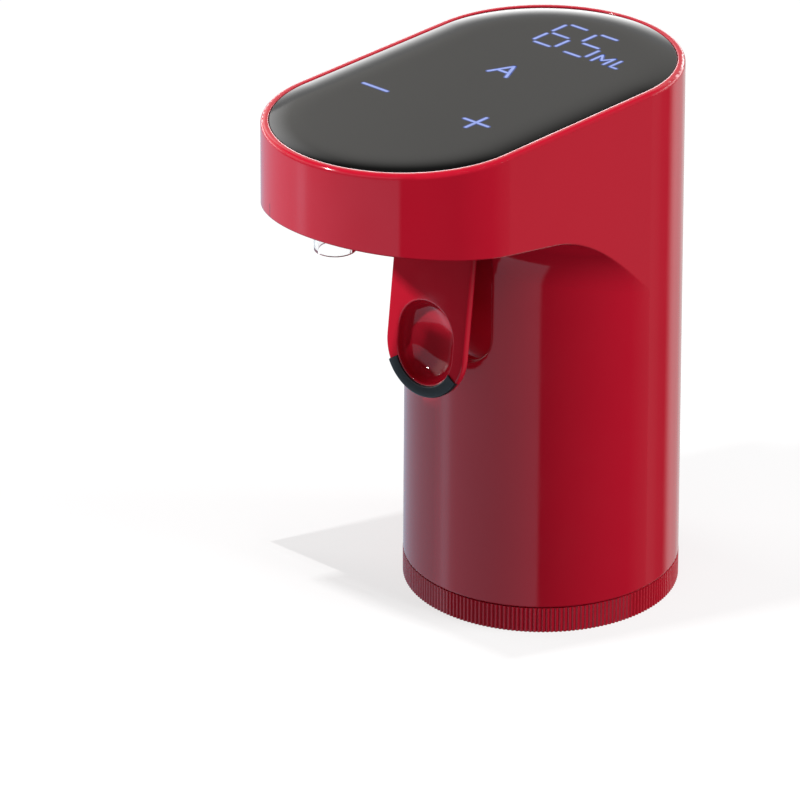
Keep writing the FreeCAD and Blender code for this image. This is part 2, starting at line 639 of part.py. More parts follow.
def trigger_slot():
    """Room for the tongue's upper half and its hub, up into the head."""
    half = PADDLE_HALF_WIDTH + LOOSE_CLEARANCE
    front = FACE_Y - PADDLE_THICKNESS
    return box(-half, half, front, PIVOT_Y + HUB_RADIUS + LOOSE_CLEARANCE,
               POCKET_LOW + POCKET_CORNER, PIVOT_Z + HUB_RADIUS)


def port_opening():
    half_width, half_height = USB_HALF_WIDTH + USB_OPENING_PLAY, USB_HALF_HEIGHT + USB_OPENING_PLAY
    rear = FOOT_RADIUS + CUT_THROUGH
    return rounded_rect_y(half_width, half_height, USB_HALF_HEIGHT, MAIN_BOARD_REAR, rear, USB_Z)


# ---- panel and display ------------------------------------------------------------
def touch_panel():
    panel = stadium(RECESS_RADIUS - FIT_CLEARANCE, PANEL_LOW, TOTAL_HEIGHT)
    return panel.makeFillet(PANEL_ROUND, top_edges(panel, TOTAL_HEIGHT))


def panel_gasket():
    outer = stadium(RECESS_RADIUS - 2 * FIT_CLEARANCE, LEDGE_Z, PANEL_LOW)
    return outer.cut(stadium(CAVITY_RADIUS + END_CLEARANCE, LEDGE_Z - CUT_THROUGH, PANEL_LOW + CUT_THROUGH))


def display_board():
    board = stadium(CAVITY_RADIUS - BOARD_MARGIN, BOARD_LOW, BOARD_TOP)
    hole = SCREW_RADIUS + FIT_CLEARANCE
    return without(board, [rod(hole, BOARD_LOW - CUT_THROUGH, BOARD_TOP + CUT_THROUGH, x, y)
                           for x, y in ALL_POSTS])


def slotted_screw(x, y, seat, clamped):
    """Screw that points down, its head on the seat and the clamped thickness below it."""
    head_top = seat + SCREW_HEAD_HEIGHT
    head = rod(SCREW_HEAD_RADIUS, seat, head_top, x, y)
    shank = rod(SCREW_RADIUS, seat - clamped - SCREW_REACH + SCREW_TIP_GAP, seat, x, y)
    slot = box(x - SCREW_HEAD_RADIUS, x + SCREW_HEAD_RADIUS, y - SCREW_SLOT_HALF, y + SCREW_SLOT_HALF,
               head_top - SCREW_SLOT_DEPTH, head_top + CUT_THROUGH)
    return joined([head, shank]).cut(slot)


def board_screws():
    return Part.makeCompound([slotted_screw(x, y, BOARD_TOP, BOARD_THICKNESS) for x, y in ALL_POSTS])


def digit_module():
    half_width, half_depth = DIGIT_WIDTH / 2, DIGIT_DEPTH / 2
    return box(-half_width, half_width, DIGIT_CENTRE_Y - half_depth, DIGIT_CENTRE_Y + half_depth,
               BOARD_TOP, PANEL_LOW - END_CLEARANCE)


def key_lamps():
    half_x, half_y = LAMP_HALF_SIZE
    top = BOARD_TOP + LAMP_HEIGHT
    return Part.makeCompound([box(x - half_x, x + half_x, y - half_y, y + half_y, BOARD_TOP, top)
                              for x, y in KEY_PLACES])


def touch_springs():
    inner = KEY_SPRING_RADIUS - KEY_SPRING_WIRE
    return Part.makeCompound([sleeve(KEY_SPRING_RADIUS, inner, BOARD_TOP, PANEL_LOW - KEY_SPRING_PLAY, x, y)
                              for x, y in KEY_PLACES])


def display_ribbon():
    return box(-RIBBON_HALF_WIDTH, RIBBON_HALF_WIDTH, MAIN_BOARD_REAR, MAIN_BOARD_REAR + RIBBON_THICKNESS,
               MAIN_BOARD_HIGH - RIBBON_OVERLAP, BOARD_LOW)


# ---- trigger ------------------------------------------------------------------------
def lean(shape):
    """Lean a piece drawn upright into the tongue's own plane."""
    return turned(shape, -PADDLE_TILT, Vector(0, FACE_Y, FLUSH_Z), X_AXIS)


def tongue_face(z):
    """Y of the leaning tongue's front face at a height."""
    return FACE_Y + (z - FLUSH_Z) * math.tan(math.radians(PADDLE_TILT))


def tongue_plate(y_low, y_high):
    """The tongue's outline between two depths, upright."""
    top = PIVOT_Z - PIN_RADIUS
    top_left = Vector(-PADDLE_HALF_WIDTH, y_low, top)
    top_right = Vector(PADDLE_HALF_WIDTH, y_low, top)
    low_left = Vector(-PADDLE_HALF_WIDTH, y_low, PADDLE_TIP_CENTRE)
    low_right = Vector(PADDLE_HALF_WIDTH, y_low, PADDLE_TIP_CENTRE)
    tip = Vector(0, y_low, PADDLE_TIP_CENTRE - PADDLE_HALF_WIDTH)
    outline = Part.Wire([Part.LineSegment(top_right, top_left).toShape(),
                         Part.LineSegment(top_left, low_left).toShape(),
                         Part.Arc(low_left, tip, low_right).toShape(),
                         Part.LineSegment(low_right, top_right).toShape()])
    return Part.Face(outline).extrude(Vector(0, y_high - y_low, 0))


def dish_form(radius):
    """An upright capsule: two balls and the rod between them."""
    centre_y = FACE_Y + DISH_DEPTH - DISH_SPHERE
    low, high = DISH_CENTRE - DISH_HALF_RUN, DISH_CENTRE + DISH_HALF_RUN
    balls = [Part.makeSphere(radius, Vector(0, centre_y, z)) for z in (low, high)]
    return joined([rod(radius, low, high, 0, centre_y)] + balls)


def bumper_form():
    """The crescent round the dish's lower half, upright, its ends sloping down outwards."""
    lip = tongue_plate(FACE_Y - BUMPER_PROUD, FACE_Y + BUMPER_INLAY)
    outer_z = BUMPER_TOP - BUMPER_END_SLOPE * (TOP_RADIUS - BUMPER_END_INNER)
    corners = [(TOP_RADIUS, outer_z), (BUMPER_END_INNER, BUMPER_TOP), (-BUMPER_END_INNER, BUMPER_TOP),
               (-TOP_RADIUS, outer_z), (-TOP_RADIUS, 0), (TOP_RADIUS, 0)]
    outline = Part.makePolygon([Vector(x, FACE_Y - TOP_RADIUS, z) for x, z in corners + corners[:1]])
    band = Part.Face(outline).extrude(Vector(0, 2 * TOP_RADIUS, 0))
    return lip.common(band).cut(dish_form(DISH_SPHERE))


def trigger_bumper():
    return lean(bumper_form())


def trigger_paddle():
    plate = tongue_plate(FACE_Y, FACE_Y + PADDLE_THICKNESS)
    bowl_room = tongue_plate(FACE_Y + PADDLE_THICKNESS / 2, FACE_Y + DISH_SPHERE)
    bowl = dish_form(DISH_SPHERE + DISH_WALL).common(bowl_room)
    tongue = plate.fuse(bowl).cut(dish_form(DISH_SPHERE)).cut(bumper_form())
    hub = rod_x(HUB_RADIUS, -PADDLE_HALF_WIDTH, PADDLE_HALF_WIDTH, PIVOT_Y, PIVOT_Z)
    pusher = rod_y(PUSHER_RADIUS, tongue_face(PUSHER_Z) + PADDLE_THICKNESS / 2, PUSHER_TIP, 0, PUSHER_Z)
    paddle = joined([lean(tongue), hub, pusher])
    return paddle.cut(rod_x(PIN_RADIUS + RUN_CLEARANCE, -TOP_RADIUS, TOP_RADIUS, PIVOT_Y, PIVOT_Z))


def trigger_pin():
    half = EAR_INNER + EAR_THICKNESS
    return rod_x(PIN_RADIUS, -half, half, PIVOT_Y, PIVOT_Z)


def trigger_spring():
    """Coil between the pocket's floor and the back of the tongue, axis along Y."""
    back = tongue_face(SPRING_Z) + PADDLE_THICKNESS / math.cos(math.radians(PADDLE_TILT))
    length = POCKET_FLOOR - back - 4 * SPRING_WIRE
    helix = Part.makeHelix(length / SPRING_TURNS, length, SPRING_RADIUS)
    section = Part.Wire(Part.makeCircle(SPRING_WIRE, Vector(SPRING_RADIUS, 0, 0), Y_AXIS))
    coil = Part.Wire(helix.Edges).makePipeShell([section], True, True)
    coil = turned(coil, -90, ORIGIN, X_AXIS)
    coil.translate(Vector(0, back + 2 * SPRING_WIRE, SPRING_Z))
    return coil


def trigger_switch():
    body = box(-SWITCH_HALF_WIDTH, SWITCH_HALF_WIDTH, SWITCH_FRONT, TRIGGER_BOARD_Y,
               PUSHER_Z - SWITCH_HALF_HEIGHT, PUSHER_Z + SWITCH_HALF_HEIGHT)
    return body.cut(rod_y(PLUNGER_RADIUS + RUN_CLEARANCE, SWITCH_FRONT - CUT_THROUGH,
                          TRIGGER_BOARD_Y - SWITCH_FLOOR, 0, PUSHER_Z))


def switch_plunger():
    rear = TRIGGER_BOARD_Y - SWITCH_FLOOR - PLUNGER_TRAVEL - 2 * END_CLEARANCE
    return rod_y(PLUNGER_RADIUS, PLUNGER_FRONT, rear, 0, PUSHER_Z)


def trigger_board():
    rear = TRIGGER_BOARD_Y + TRIGGER_BOARD_THICKNESS
    board = box(-TRIGGER_BOARD_HALF_WIDTH, TRIGGER_BOARD_HALF_WIDTH, TRIGGER_BOARD_Y, rear,
                PUSHER_Z - TRIGGER_BOARD_HALF_HEIGHT, PUSHER_Z + TRIGGER_BOARD_HALF_HEIGHT)
    hole = SCREW_RADIUS + FIT_CLEARANCE
    return without(board, [rod_y(hole, TRIGGER_BOARD_Y - CUT_THROUGH, rear + CUT_THROUGH,
                                 side * SWITCH_POST_X, PUSHER_Z) for side in (-1, 1)])


def switch_screws():
    seat = TRIGGER_BOARD_Y + TRIGGER_BOARD_THICKNESS
    screws = []
    for side in (-1, 1):
        screw = turned(slotted_screw(0, 0, 0, TRIGGER_BOARD_THICKNESS), -90, ORIGIN, X_AXIS)
        screw.translate(Vector(side * SWITCH_POST_X, seat, PUSHER_Z))
        screws.append(screw)
    return Part.makeCompound(screws)


# ---- wine path --------------------------------------------------------------------
def outlet_nozzle():
    """Clear spout, its flange trimmed to the head's front wall, with a barb for the tube."""
    top = TUBE_RUN_Z + TUBE_RADIUS
    barb_end = TUBE_FRONT + TUBE_BARB_REACH
    barb_radius = TUBE_BORE - BARB_CLEARANCE
    flange_low = NOZZLE_SEAT + SEAL_LIP
    room = stadium(CAVITY_RADIUS - FIT_CLEARANCE, 0, TOTAL_HEIGHT)
    flange = rod(NOZZLE_FLANGE, flange_low, flange_low + NOZZLE_FLANGE_HEIGHT, 0, NOZZLE_Y).common(room)
    body = joined([rod(NOZZLE_RADIUS, NOZZLE_LOW, top, 0, NOZZLE_Y),
                   flange,
                   rod_y(barb_radius, NOZZLE_Y, barb_end, 0, TUBE_RUN_Z)])
    return without(body, [rod(NOZZLE_BORE, NOZZLE_LOW - CUT_THROUGH, top - NOZZLE_ROOF, 0, NOZZLE_Y),
                          rod_y(barb_radius - BARB_WALL, NOZZLE_Y, barb_end + CUT_THROUGH, 0, TUBE_RUN_Z)])


def nozzle_seal():
    inner = NOZZLE_RADIUS + PRESS_CLEARANCE
    top = NOZZLE_SEAT + SEAL_LIP
    wall = sleeve(NOZZLE_RADIUS + SEAL_WALL, inner, underside(NOZZLE_Y) + SEAL_RECESS, top, 0, NOZZLE_Y)
    lip = sleeve(NOZZLE_FLANGE, inner, NOZZLE_SEAT, top, 0, NOZZLE_Y)
    return joined([wall, lip]).common(stadium(CAVITY_RADIUS + SEAL_WALL, 0, NOZZLE_SEAT).fuse(
        stadium(CAVITY_RADIUS - FIT_CLEARANCE, 0, TOTAL_HEIGHT)))


def wine_tube():
    bend_low = Vector(0, 0, TUBE_RUN_Z - TUBE_BEND)
    bend_front = Vector(0, -TUBE_BEND, TUBE_RUN_Z)
    reach = TUBE_BEND * (1 - math.sqrt(0.5))
    bend_mid = Vector(0, -reach, TUBE_RUN_Z - reach)
    path = Part.Wire([Part.LineSegment(Vector(0, 0, CORE_TOP + END_CLEARANCE), bend_low).toShape(),
                      Part.Arc(bend_low, bend_mid, bend_front).toShape(),
                      Part.LineSegment(bend_front, Vector(0, TUBE_FRONT, TUBE_RUN_Z)).toShape()])
    return hose("wine tube", path, TUBE_RADIUS, TUBE_BORE)


def stopper_core():
    """Rigid heart of the stopper: wine bore, air bore, both tube barbs and the dip-tube socket."""
    wine_barb = TUBE_BORE - BARB_CLEARANCE
    barb_top = CORE_TOP + WINE_BARB_HEIGHT
    air_barb_top = CORE_TOP + AIR_BARB_HEIGHT
    cross_z = (CEILING_HIGH + CORE_TOP) / 2
    body = joined([rod(CORE_RADIUS, CORE_LOW, CEILING_HIGH),
                   rod(CORE_NECK, CEILING_LOW - GASKET_HEIGHT, CEILING_HIGH),
                   rod(CORE_FLANGE, CEILING_HIGH, CORE_TOP),
                   box(-AIR_TONGUE_WALL, AIR_TONGUE_WALL, AIR_PORT_Y - AIR_TONGUE_WALL, 0,
                       CEILING_HIGH, CORE_TOP),
                   rod(wine_barb, CORE_TOP, barb_top),
                   rod(AIR_BARB, CORE_TOP, air_barb_top, 0, AIR_PORT_Y)])
    groove = sleeve(CORE_NECK + CUT_THROUGH, CORE_NECK - O_RING_GROOVE,
                    GROOVE_Z - O_RING_GROOVE / 2, GROOVE_Z + O_RING_GROOVE / 2)
    return without(body, [rod(wine_barb - BARB_WALL, CORE_LOW - CUT_THROUGH, barb_top + CUT_THROUGH),
                          rod(DIP_SOCKET_RADIUS, CORE_LOW - CUT_THROUGH, CORE_LOW + DIP_SOCKET_DEPTH),
                          rod(AIR_BORE, CORE_LOW - CUT_THROUGH, cross_z, 0, AIR_BORE_Y),
                          rod_y(AIR_BORE, AIR_PORT_Y, AIR_BORE_Y, 0, cross_z),
                          rod(AIR_BARB_BORE, cross_z, air_barb_top + CUT_THROUGH, 0, AIR_PORT_Y),
                          groove])


def core_o_ring():
    """Ring that fills the groove between the core and the ceiling's hole."""
    inner, outer = CORE_NECK - O_RING_GROOVE, CORE_NECK + BARB_CLEARANCE
    return Part.makeTorus((inner + outer) / 2, (outer - inner) / 2 - BARB_CLEARANCE, Vector(0, 0, GROOVE_Z))


def silicone_stopper():
    """Grooved plug: sealing lands of one radius and a tapered tip."""
    low = CORE_LOW - END_CLEARANCE
    taper, taper_height = TIP_TAPER
    lands_low = low + taper_height
    pitch = LAND_HEIGHT + LAND_GROOVE
    lands_high = lands_low + LAND_COUNT * pitch - LAND_GROOVE
    body = joined([Part.makeCone(STOPPER_RADIUS - taper, STOPPER_RADIUS, taper_height, Vector(0, 0, low)),
                   rod(STOPPER_RADIUS, lands_low, lands_high),
                   rod(STOPPER_RADIUS - STOPPER_RELIEF, lands_high, CEILING_LOW - GASKET_HEIGHT)])
    cutters = [rod(CORE_RADIUS + BARB_CLEARANCE, low - CUT_THROUGH, CEILING_LOW + CUT_THROUGH)]
    for index in range(LAND_COUNT - 1):
        z = lands_low + LAND_HEIGHT + index * pitch
        cutters.append(sleeve(STOPPER_RADIUS + CUT_THROUGH, STOPPER_RADIUS - LAND_DEPTH, z, z + LAND_GROOVE))
    return without(body, cutters)


def mouth_gasket():
    low = CEILING_LOW - GASKET_HEIGHT
    return sleeve(SOCKET_RADIUS - GASKET_INSET, CORE_NECK + FIT_CLEARANCE, low, CEILING_LOW)


# ---- base housing and ring ------------------------------------------------------------
def lug_angles():
    return [90.0 + 120.0 * index for index in range(3)]


def arc_block(inner, outer, z_low, z_high, angle, width):
    wedge = Part.makeCylinder(outer, z_high - z_low, Vector(0, 0, z_low), Z_AXIS, width)
    return turned(wedge, angle - width / 2).cut(rod(inner, z_low - CUT_THROUGH, z_high + CUT_THROUGH))


def snap_teeth():
    """Three teeth that hold the housing in the column's groove, between the lugs."""
    outer = BORE_RADIUS + SNAP_DEPTH - FIT_CLEARANCE
    ring = sleeve(outer, HOUSING_RADIUS - OVERLAP, SNAP_LOW + SNAP_PLAY, SNAP_LOW + SNAP_HEIGHT - SNAP_PLAY)
    window = box(0, 2 * FOOT_RADIUS, -SNAP_WIDTH / 2, SNAP_WIDTH / 2, 0, CEILING_LOW)
    return [ring.common(turned(window, angle - 60)) for angle in lug_angles()]


def base_housing():
    """Neck socket with a double wall, snapped into the column's foot."""
    groove_outer = SKIRT_INNER + BAYONET_DEPTH
    groove_high = BAYONET_LOW + BAYONET_HEIGHT
    body = joined([sleeve(HOUSING_RADIUS, SKIRT_INNER, SKIRT_LOW, CEILING_LOW),
                   sleeve(SOCKET_RADIUS + SOCKET_WALL, SOCKET_RADIUS, GUIDE_HEIGHT + CUT_THROUGH, CEILING_LOW),
                   rod(HOUSING_RADIUS, CEILING_LOW, CEILING_HIGH)] + snap_teeth())
    cutters = [sleeve(groove_outer, SKIRT_INNER - OVERLAP, BAYONET_LOW, groove_high),
               rod(CORE_NECK + BARB_CLEARANCE, CEILING_LOW - CUT_THROUGH, CEILING_HIGH + CUT_THROUGH)]
    for angle in lug_angles():
        cutters.append(arc_block(SKIRT_INNER - OVERLAP, groove_outer, SKIRT_LOW - CUT_THROUGH, groove_high,
                                 angle + RING_TURN, LUG_ANGLE + SLOT_EXTRA))
    for x, y in CHASSIS_SCREWS:
        cutters.append(rod(CHASSIS_SCREW_RADIUS + FIT_CLEARANCE, CEILING_LOW, CEILING_HIGH + OVERLAP, x, y))
        cutters.append(rod(CHASSIS_SCREW_HEAD + FIT_CLEARANCE, CEILING_LOW - GASKET_HEIGHT,
                           CEILING_LOW + CHASSIS_SCREW_HEAD_HEIGHT + END_CLEARANCE, x, y))
    return without(body, cutters)


def knurled_rim(inner, z_low, z_high):
    """Rim whose outside is a ring of fine upright ribs."""
    crest, root = FOOT_RADIUS, FOOT_RADIUS - RING_RIB_DEPTH
    step = 2 * math.pi / RING_RIB_COUNT
    points = []
    for index in range(RING_RIB_COUNT):
        for radius, share in ((root, 0.0), (crest, RIB_CREST[0]), (crest, RIB_CREST[1])):
            angle = (index + share) * step
            points.append(Vector(radius * math.cos(angle), radius * math.sin(angle), z_low))
    outline = Part.makePolygon(points + points[:1])
    rim = Part.Face(outline).extrude(Vector(0, 0, z_high - z_low))
    return rim.cut(rod(inner, z_low - CUT_THROUGH, z_high + CUT_THROUGH))


def twist_ring():
    """Knurled ring with the neck's guide bore and three bayonet lugs."""
    rim_inner = BORE_RADIUS + RING_INSET
    spigot_outer = SKIRT_INNER - LUG_GAP
    spigot_top = BAYONET_LOW + BAYONET_HEIGHT - LUG_GAP
    lug_outer = SKIRT_INNER + BAYONET_DEPTH - LUG_GAP
    lugs = [arc_block(spigot_outer - OVERLAP, lug_outer, BAYONET_LOW + LUG_GAP, spigot_top, angle, LUG_ANGLE)
            for angle in lug_angles()]
    return joined([knurled_rim(rim_inner, 0, RING_HEIGHT),
                   sleeve(rim_inner + OVERLAP, GUIDE_RADIUS, 0, RING_FLOOR),
                   sleeve(GUIDE_RADIUS + SOCKET_WALL, GUIDE_RADIUS, 0, GUIDE_HEIGHT),
                   sleeve(spigot_outer, spigot_outer - SPIGOT_WALL, RING_FLOOR - OVERLAP, spigot_top)] + lugs)


# ---- chassis ----------------------------------------------------------------------------
def cradle(radius, height, x, y):
    inner = radius + FIT_CLEARANCE
    return sleeve(inner + CRADLE_WALL, inner, DECK_HIGH - OVERLAP, DECK_HIGH + height, x, y)


def board_rails():
    """Two channelled uprights that hold the main board's long edges."""
    inner = MAIN_BOARD_HALF_WIDTH - RAIL_GRIP
    outer = MAIN_BOARD_HALF_WIDTH + FIT_CLEARANCE + RAIL_THICKNESS
    slot_half = MAIN_BOARD_HALF_WIDTH + END_CLEARANCE
    slot = box(-slot_half, slot_half, MAIN_BOARD_Y - END_CLEARANCE, MAIN_BOARD_REAR + END_CLEARANCE,
               MAIN_BOARD_LOW, MAIN_BOARD_HIGH)
    rails = []
    for side in (-1, 1):
        x_low, x_high = sorted((side * inner, side * outer))
        rail = box(x_low, x_high, MAIN_BOARD_Y - RAIL_THICKNESS, MAIN_BOARD_REAR + RAIL_BEHIND,
                   DECK_HIGH - OVERLAP, MAIN_BOARD_HIGH - RAIL_SHORTER)
        rails.append(rail.cut(slot))
    return rails


def chassis():
    """Deck with cradles for the cell and the pump, rails for the board and a valve seat."""
    seat_half = VALVE_HALF_WIDTH - VALVE_SEAT_INSET
    seat_rear = AIR_PORT_Y - AIR_TUBE_RADIUS - LOOSE_CLEARANCE
    posts = [rod(CHASSIS_POST_RADIUS, CEILING_HIGH, DECK_LOW + OVERLAP, x, y) for x, y in CHASSIS_SCREWS]
    board_room = Part.makeCompound(board_forms(END_CLEARANCE))
    body = joined([rod(DECK_RADIUS, DECK_LOW, DECK_HIGH),
                   cradle(CELL_RADIUS, CELL_CRADLE_HEIGHT, CELL_X, CELL_Y).cut(board_room),
                   cradle(PUMP_RADIUS, PUMP_CRADLE_HEIGHT, PUMP_X, PUMP_Y),
                   box(-seat_half, seat_half, VALVE_FRONT, seat_rear, DECK_HIGH - OVERLAP, VALVE_LOW)]
                  + posts + board_rails())
    body = body.common(rod(DECK_RADIUS, 0, TOTAL_HEIGHT))
    cutters = [rod(TUBE_RADIUS + LOOSE_CLEARANCE, 0, TOTAL_HEIGHT),
               rod(AIR_TUBE_RADIUS + LOOSE_CLEARANCE, 0, VALVE_LOW, 0, AIR_PORT_Y),
               box(CELL_X, CELL_X + CRADLE_WINDOW, CELL_Y - CELL_RADIUS - CRADLE_WINDOW, CELL_Y - CRADLE_WALL,
                   DECK_HIGH, TOTAL_HEIGHT)]
    for x, y in CHASSIS_SCREWS:
        cutters.append(rod(CHASSIS_SCREW_RADIUS + THREAD_CLEARANCE, CEILING_HIGH - CUT_THROUGH,
                           DECK_HIGH + CUT_THROUGH, x, y))
    return without(body, cutters)


def chassis_screws():
    head_low = CEILING_LOW + END_CLEARANCE
    head_high = head_low + CHASSIS_SCREW_HEAD_HEIGHT
    return Part.makeCompound([joined([rod(CHASSIS_SCREW_HEAD, head_low, head_high, x, y),
                                      rod(CHASSIS_SCREW_RADIUS, head_low, DECK_HIGH, x, y)])
                              for x, y in CHASSIS_SCREWS])


# ---- power and control -----------------------------------------------------------------
def battery_cell():
    button_low = CELL_HIGH - CELL_BUTTON_HEIGHT
    can = rod(CELL_RADIUS, CELL_LOW, button_low, CELL_X, CELL_Y)
    can = can.makeFillet(CELL_EDGE_ROUND, [edge for edge in can.Edges if len(edge.Vertexes) == 1])
    return joined([can, rod(CELL_BUTTON_RADIUS, button_low - OVERLAP, CELL_HIGH, CELL_X, CELL_Y)])


def battery_contacts():
    return Part.makeCompound([rod(TOP_CONTACT_RADIUS, CELL_HIGH, CELL_HIGH + TOP_CONTACT, CELL_X, CELL_Y),
                              rod(CELL_CONTACT_RADIUS, DECK_HIGH, CELL_LOW, CELL_X, CELL_Y)])


def battery_leads():
    """Two insulated wires from the cell's top contact down to the board."""
    start = CELL_HIGH + TOP_CONTACT
    low = MAIN_BOARD_HIGH - LEAD_END
    leads = []
    for shift in (-LEAD_SPACING, LEAD_SPACING):
        x = CELL_X + shift
        drop_x = x + CELL_RADIUS - LEAD_SIDE_INSET
        drop_y = CELL_Y + CELL_RADIUS - LEAD_BACK_INSET
        crest = start + LEAD_RISE
        path = rounded_path([(x, CELL_Y, start), (x, CELL_Y, crest), (drop_x, drop_y, crest - shift),
                             (drop_x, drop_y, low), (drop_x, MAIN_BOARD_Y, low)])
        leads.append(swept(path, LEAD_RADIUS))
    return Part.makeCompound(leads)


def board_forms(room):
    """The main board and what stands on it, each grown by some room."""
    root = MAIN_BOARD_Y + END_CLEARANCE
    pieces = [box(-MAIN_BOARD_HALF_WIDTH - room, MAIN_BOARD_HALF_WIDTH + room, MAIN_BOARD_Y - room,
                  MAIN_BOARD_REAR + room, MAIN_BOARD_LOW - room, MAIN_BOARD_HIGH + room)]
    for x, rise, half_width, half_height, thickness in CHIPS.values():
        z = MAIN_BOARD_LOW + rise
        pieces.append(box(x - half_width - room, x + half_width + room, MAIN_BOARD_Y - thickness - room, root,
                          z - half_height - room, z + half_height + room))
    x, rise, radius, thickness = CAPACITOR
    pieces.append(rod_y(radius + room, MAIN_BOARD_Y - thickness - room, root, x, MAIN_BOARD_LOW + rise))
    return pieces


def main_board():
    return joined(board_forms(0))


def usb_port():
    """Metal shell with a tongue inside, open to the rear."""
    back = MAIN_BOARD_REAR + USB_BACK
    inner_height = USB_HALF_HEIGHT - USB_WALL
    metal = rounded_rect_y(USB_HALF_WIDTH, USB_HALF_HEIGHT, USB_HALF_HEIGHT - BARB_CLEARANCE,
                           MAIN_BOARD_REAR, USB_MOUTH, USB_Z)
    hollow = rounded_rect_y(USB_HALF_WIDTH - USB_WALL, inner_height, inner_height - BARB_CLEARANCE,
                            back, USB_MOUTH + CUT_THROUGH, USB_Z)
    tongue = box(-USB_TONGUE_HALF_WIDTH, USB_TONGUE_HALF_WIDTH, back - OVERLAP, USB_MOUTH - USB_TONGUE_SINK,
                 USB_Z - USB_TONGUE_HALF_HEIGHT, USB_Z + USB_TONGUE_HALF_HEIGHT)
    return joined([metal.cut(hollow), tongue])


# ---- pump -------------------------------------------------------------------------------
def pump_motor():
    can = rod(PUMP_RADIUS, MOTOR_LOW, MOTOR_HIGH, PUMP_X, PUMP_Y)
    return can.cut(rod(SHAFT_RADIUS + RUN_CLEARANCE, MOTOR_HIGH - MOTOR_BORE_DEPTH, MOTOR_HIGH + CUT_THROUGH,
                       PUMP_X, PUMP_Y))


def pump_rotor():
    """Motor shaft with the crank disc that works the diaphragm."""
    shaft_low = MOTOR_HIGH - MOTOR_BORE_DEPTH + END_CLEARANCE
    crank_low = MOTOR_HIGH + CRANKCASE_FLOOR + CRANK_RISE
    crank_high = crank_low + CRANK_HEIGHT
    return joined([rod(SHAFT_RADIUS, shaft_low, crank_high + SHAFT_TOP, PUMP_X, PUMP_Y),
                   rod(CRANK_RADIUS, crank_low, crank_high, PUMP_X + CRANK_OFFSET, PUMP_Y)])


def pump_crankcase():
    floor = MOTOR_HIGH + CRANKCASE_FLOOR
    case = rod(PUMP_RADIUS, MOTOR_HIGH, DIAPHRAGM_LOW, PUMP_X, PUMP_Y)
    return without(case, [rod(CRANKCASE_CAVITY, floor, DIAPHRAGM_LOW + CUT_THROUGH, PUMP_X, PUMP_Y),
                          rod(SHAFT_RADIUS + SHAFT_HOLE_PLAY, MOTOR_HIGH - CUT_THROUGH, floor + CUT_THROUGH,
                              PUMP_X, PUMP_Y),
                          rod_y(CRANKCASE_VENT, PUMP_Y, PUMP_Y + PUMP_RADIUS + CUT_THROUGH, PUMP_X,
                                MOTOR_HIGH + CRANKCASE_VENT_RISE)])


def pump_diaphragm():
    return joined([rod(PUMP_RADIUS - DIAPHRAGM_INSET, DIAPHRAGM_LOW, PUMP_CAP_LOW, PUMP_X, PUMP_Y),
                   rod(DIAPHRAGM_STUB_RADIUS, DIAPHRAGM_LOW - DIAPHRAGM_THICKNESS, DIAPHRAGM_LOW,
                       PUMP_X, PUMP_Y)])


def pump_cap():
    barb_top = PUMP_CAP_HIGH + BARB_LENGTH
    cap = joined([rod(PUMP_RADIUS, PUMP_CAP_LOW, PUMP_CAP_HIGH, PUMP_X, PUMP_Y),
                  rod(AIR_BARB, PUMP_CAP_HIGH, barb_top, PUMP_X, PUMP_Y)])
    chamber_top = PUMP_CAP_LOW + PUMP_CHAMBER_HEIGHT
    return without(cap, [rod(PUMP_CHAMBER_RADIUS, PUMP_CAP_LOW - CUT_THROUGH, chamber_top, PUMP_X, PUMP_Y),
                         rod(AIR_BARB_BORE, PUMP_CAP_LOW, barb_top + CUT_THROUGH, PUMP_X, PUMP_Y)])


# ---- air path -----------------------------------------------------------------------------
def check_valve():
    barb_low, barb_high = CHECK_LOW - BARB_LENGTH, CHECK_HIGH + BARB_LENGTH
    body = joined([rod(CHECK_RADIUS, CHECK_LOW, CHECK_HIGH, CHECK_X, CHECK_Y),
                   rod(AIR_BARB, barb_low, barb_high, CHECK_X, CHECK_Y)])
    chamber_low, chamber_high = CHECK_LOW + CHECK_END_WALL, CHECK_HIGH - CHECK_END_WALL
    return without(body, [rod(CHECK_CHAMBER, chamber_low, chamber_high, CHECK_X, CHECK_Y),
                          rod(AIR_BARB_BORE, barb_low - CUT_THROUGH, barb_high + CUT_THROUGH,
                              CHECK_X, CHECK_Y)])


def valve_body():
    """Solenoid block: armature bore, side port to the pump and bottom port to the stopper."""
    side_end = VALVE_HALF_WIDTH + BARB_LENGTH
    foot_low = VALVE_LOW - AIR_BARB_HEIGHT
    body = joined([box(-VALVE_HALF_WIDTH, VALVE_HALF_WIDTH, VALVE_FRONT, VALVE_REAR, VALVE_LOW, VALVE_HIGH),
                   rod_x(AIR_BARB, VALVE_HALF_WIDTH - OVERLAP, side_end, VALVE_PORT_Y, VALVE_PORT_Z),
                   rod(AIR_BARB, foot_low, VALVE_LOW + OVERLAP, 0, AIR_PORT_Y)])
    return without(body, [rod(ARMATURE_RADIUS + RUN_CLEARANCE, VALVE_LOW + ARMATURE_BORE_FLOOR,
                              VALVE_HIGH - ARMATURE_BORE_ROOF, 0, ARMATURE_Y),
                          rod_x(AIR_BARB_BORE, 0, side_end + CUT_THROUGH, VALVE_PORT_Y, VALVE_PORT_Z),
                          rod(AIR_BARB_BORE, foot_low - CUT_THROUGH, VALVE_PORT_Z, 0, AIR_PORT_Y)])


def valve_armature():
    low = VALVE_LOW + ARMATURE_BORE_FLOOR + ARMATURE_REST_GAP
    return rod(ARMATURE_RADIUS, low, low + ARMATURE_LENGTH, 0, ARMATURE_Y)


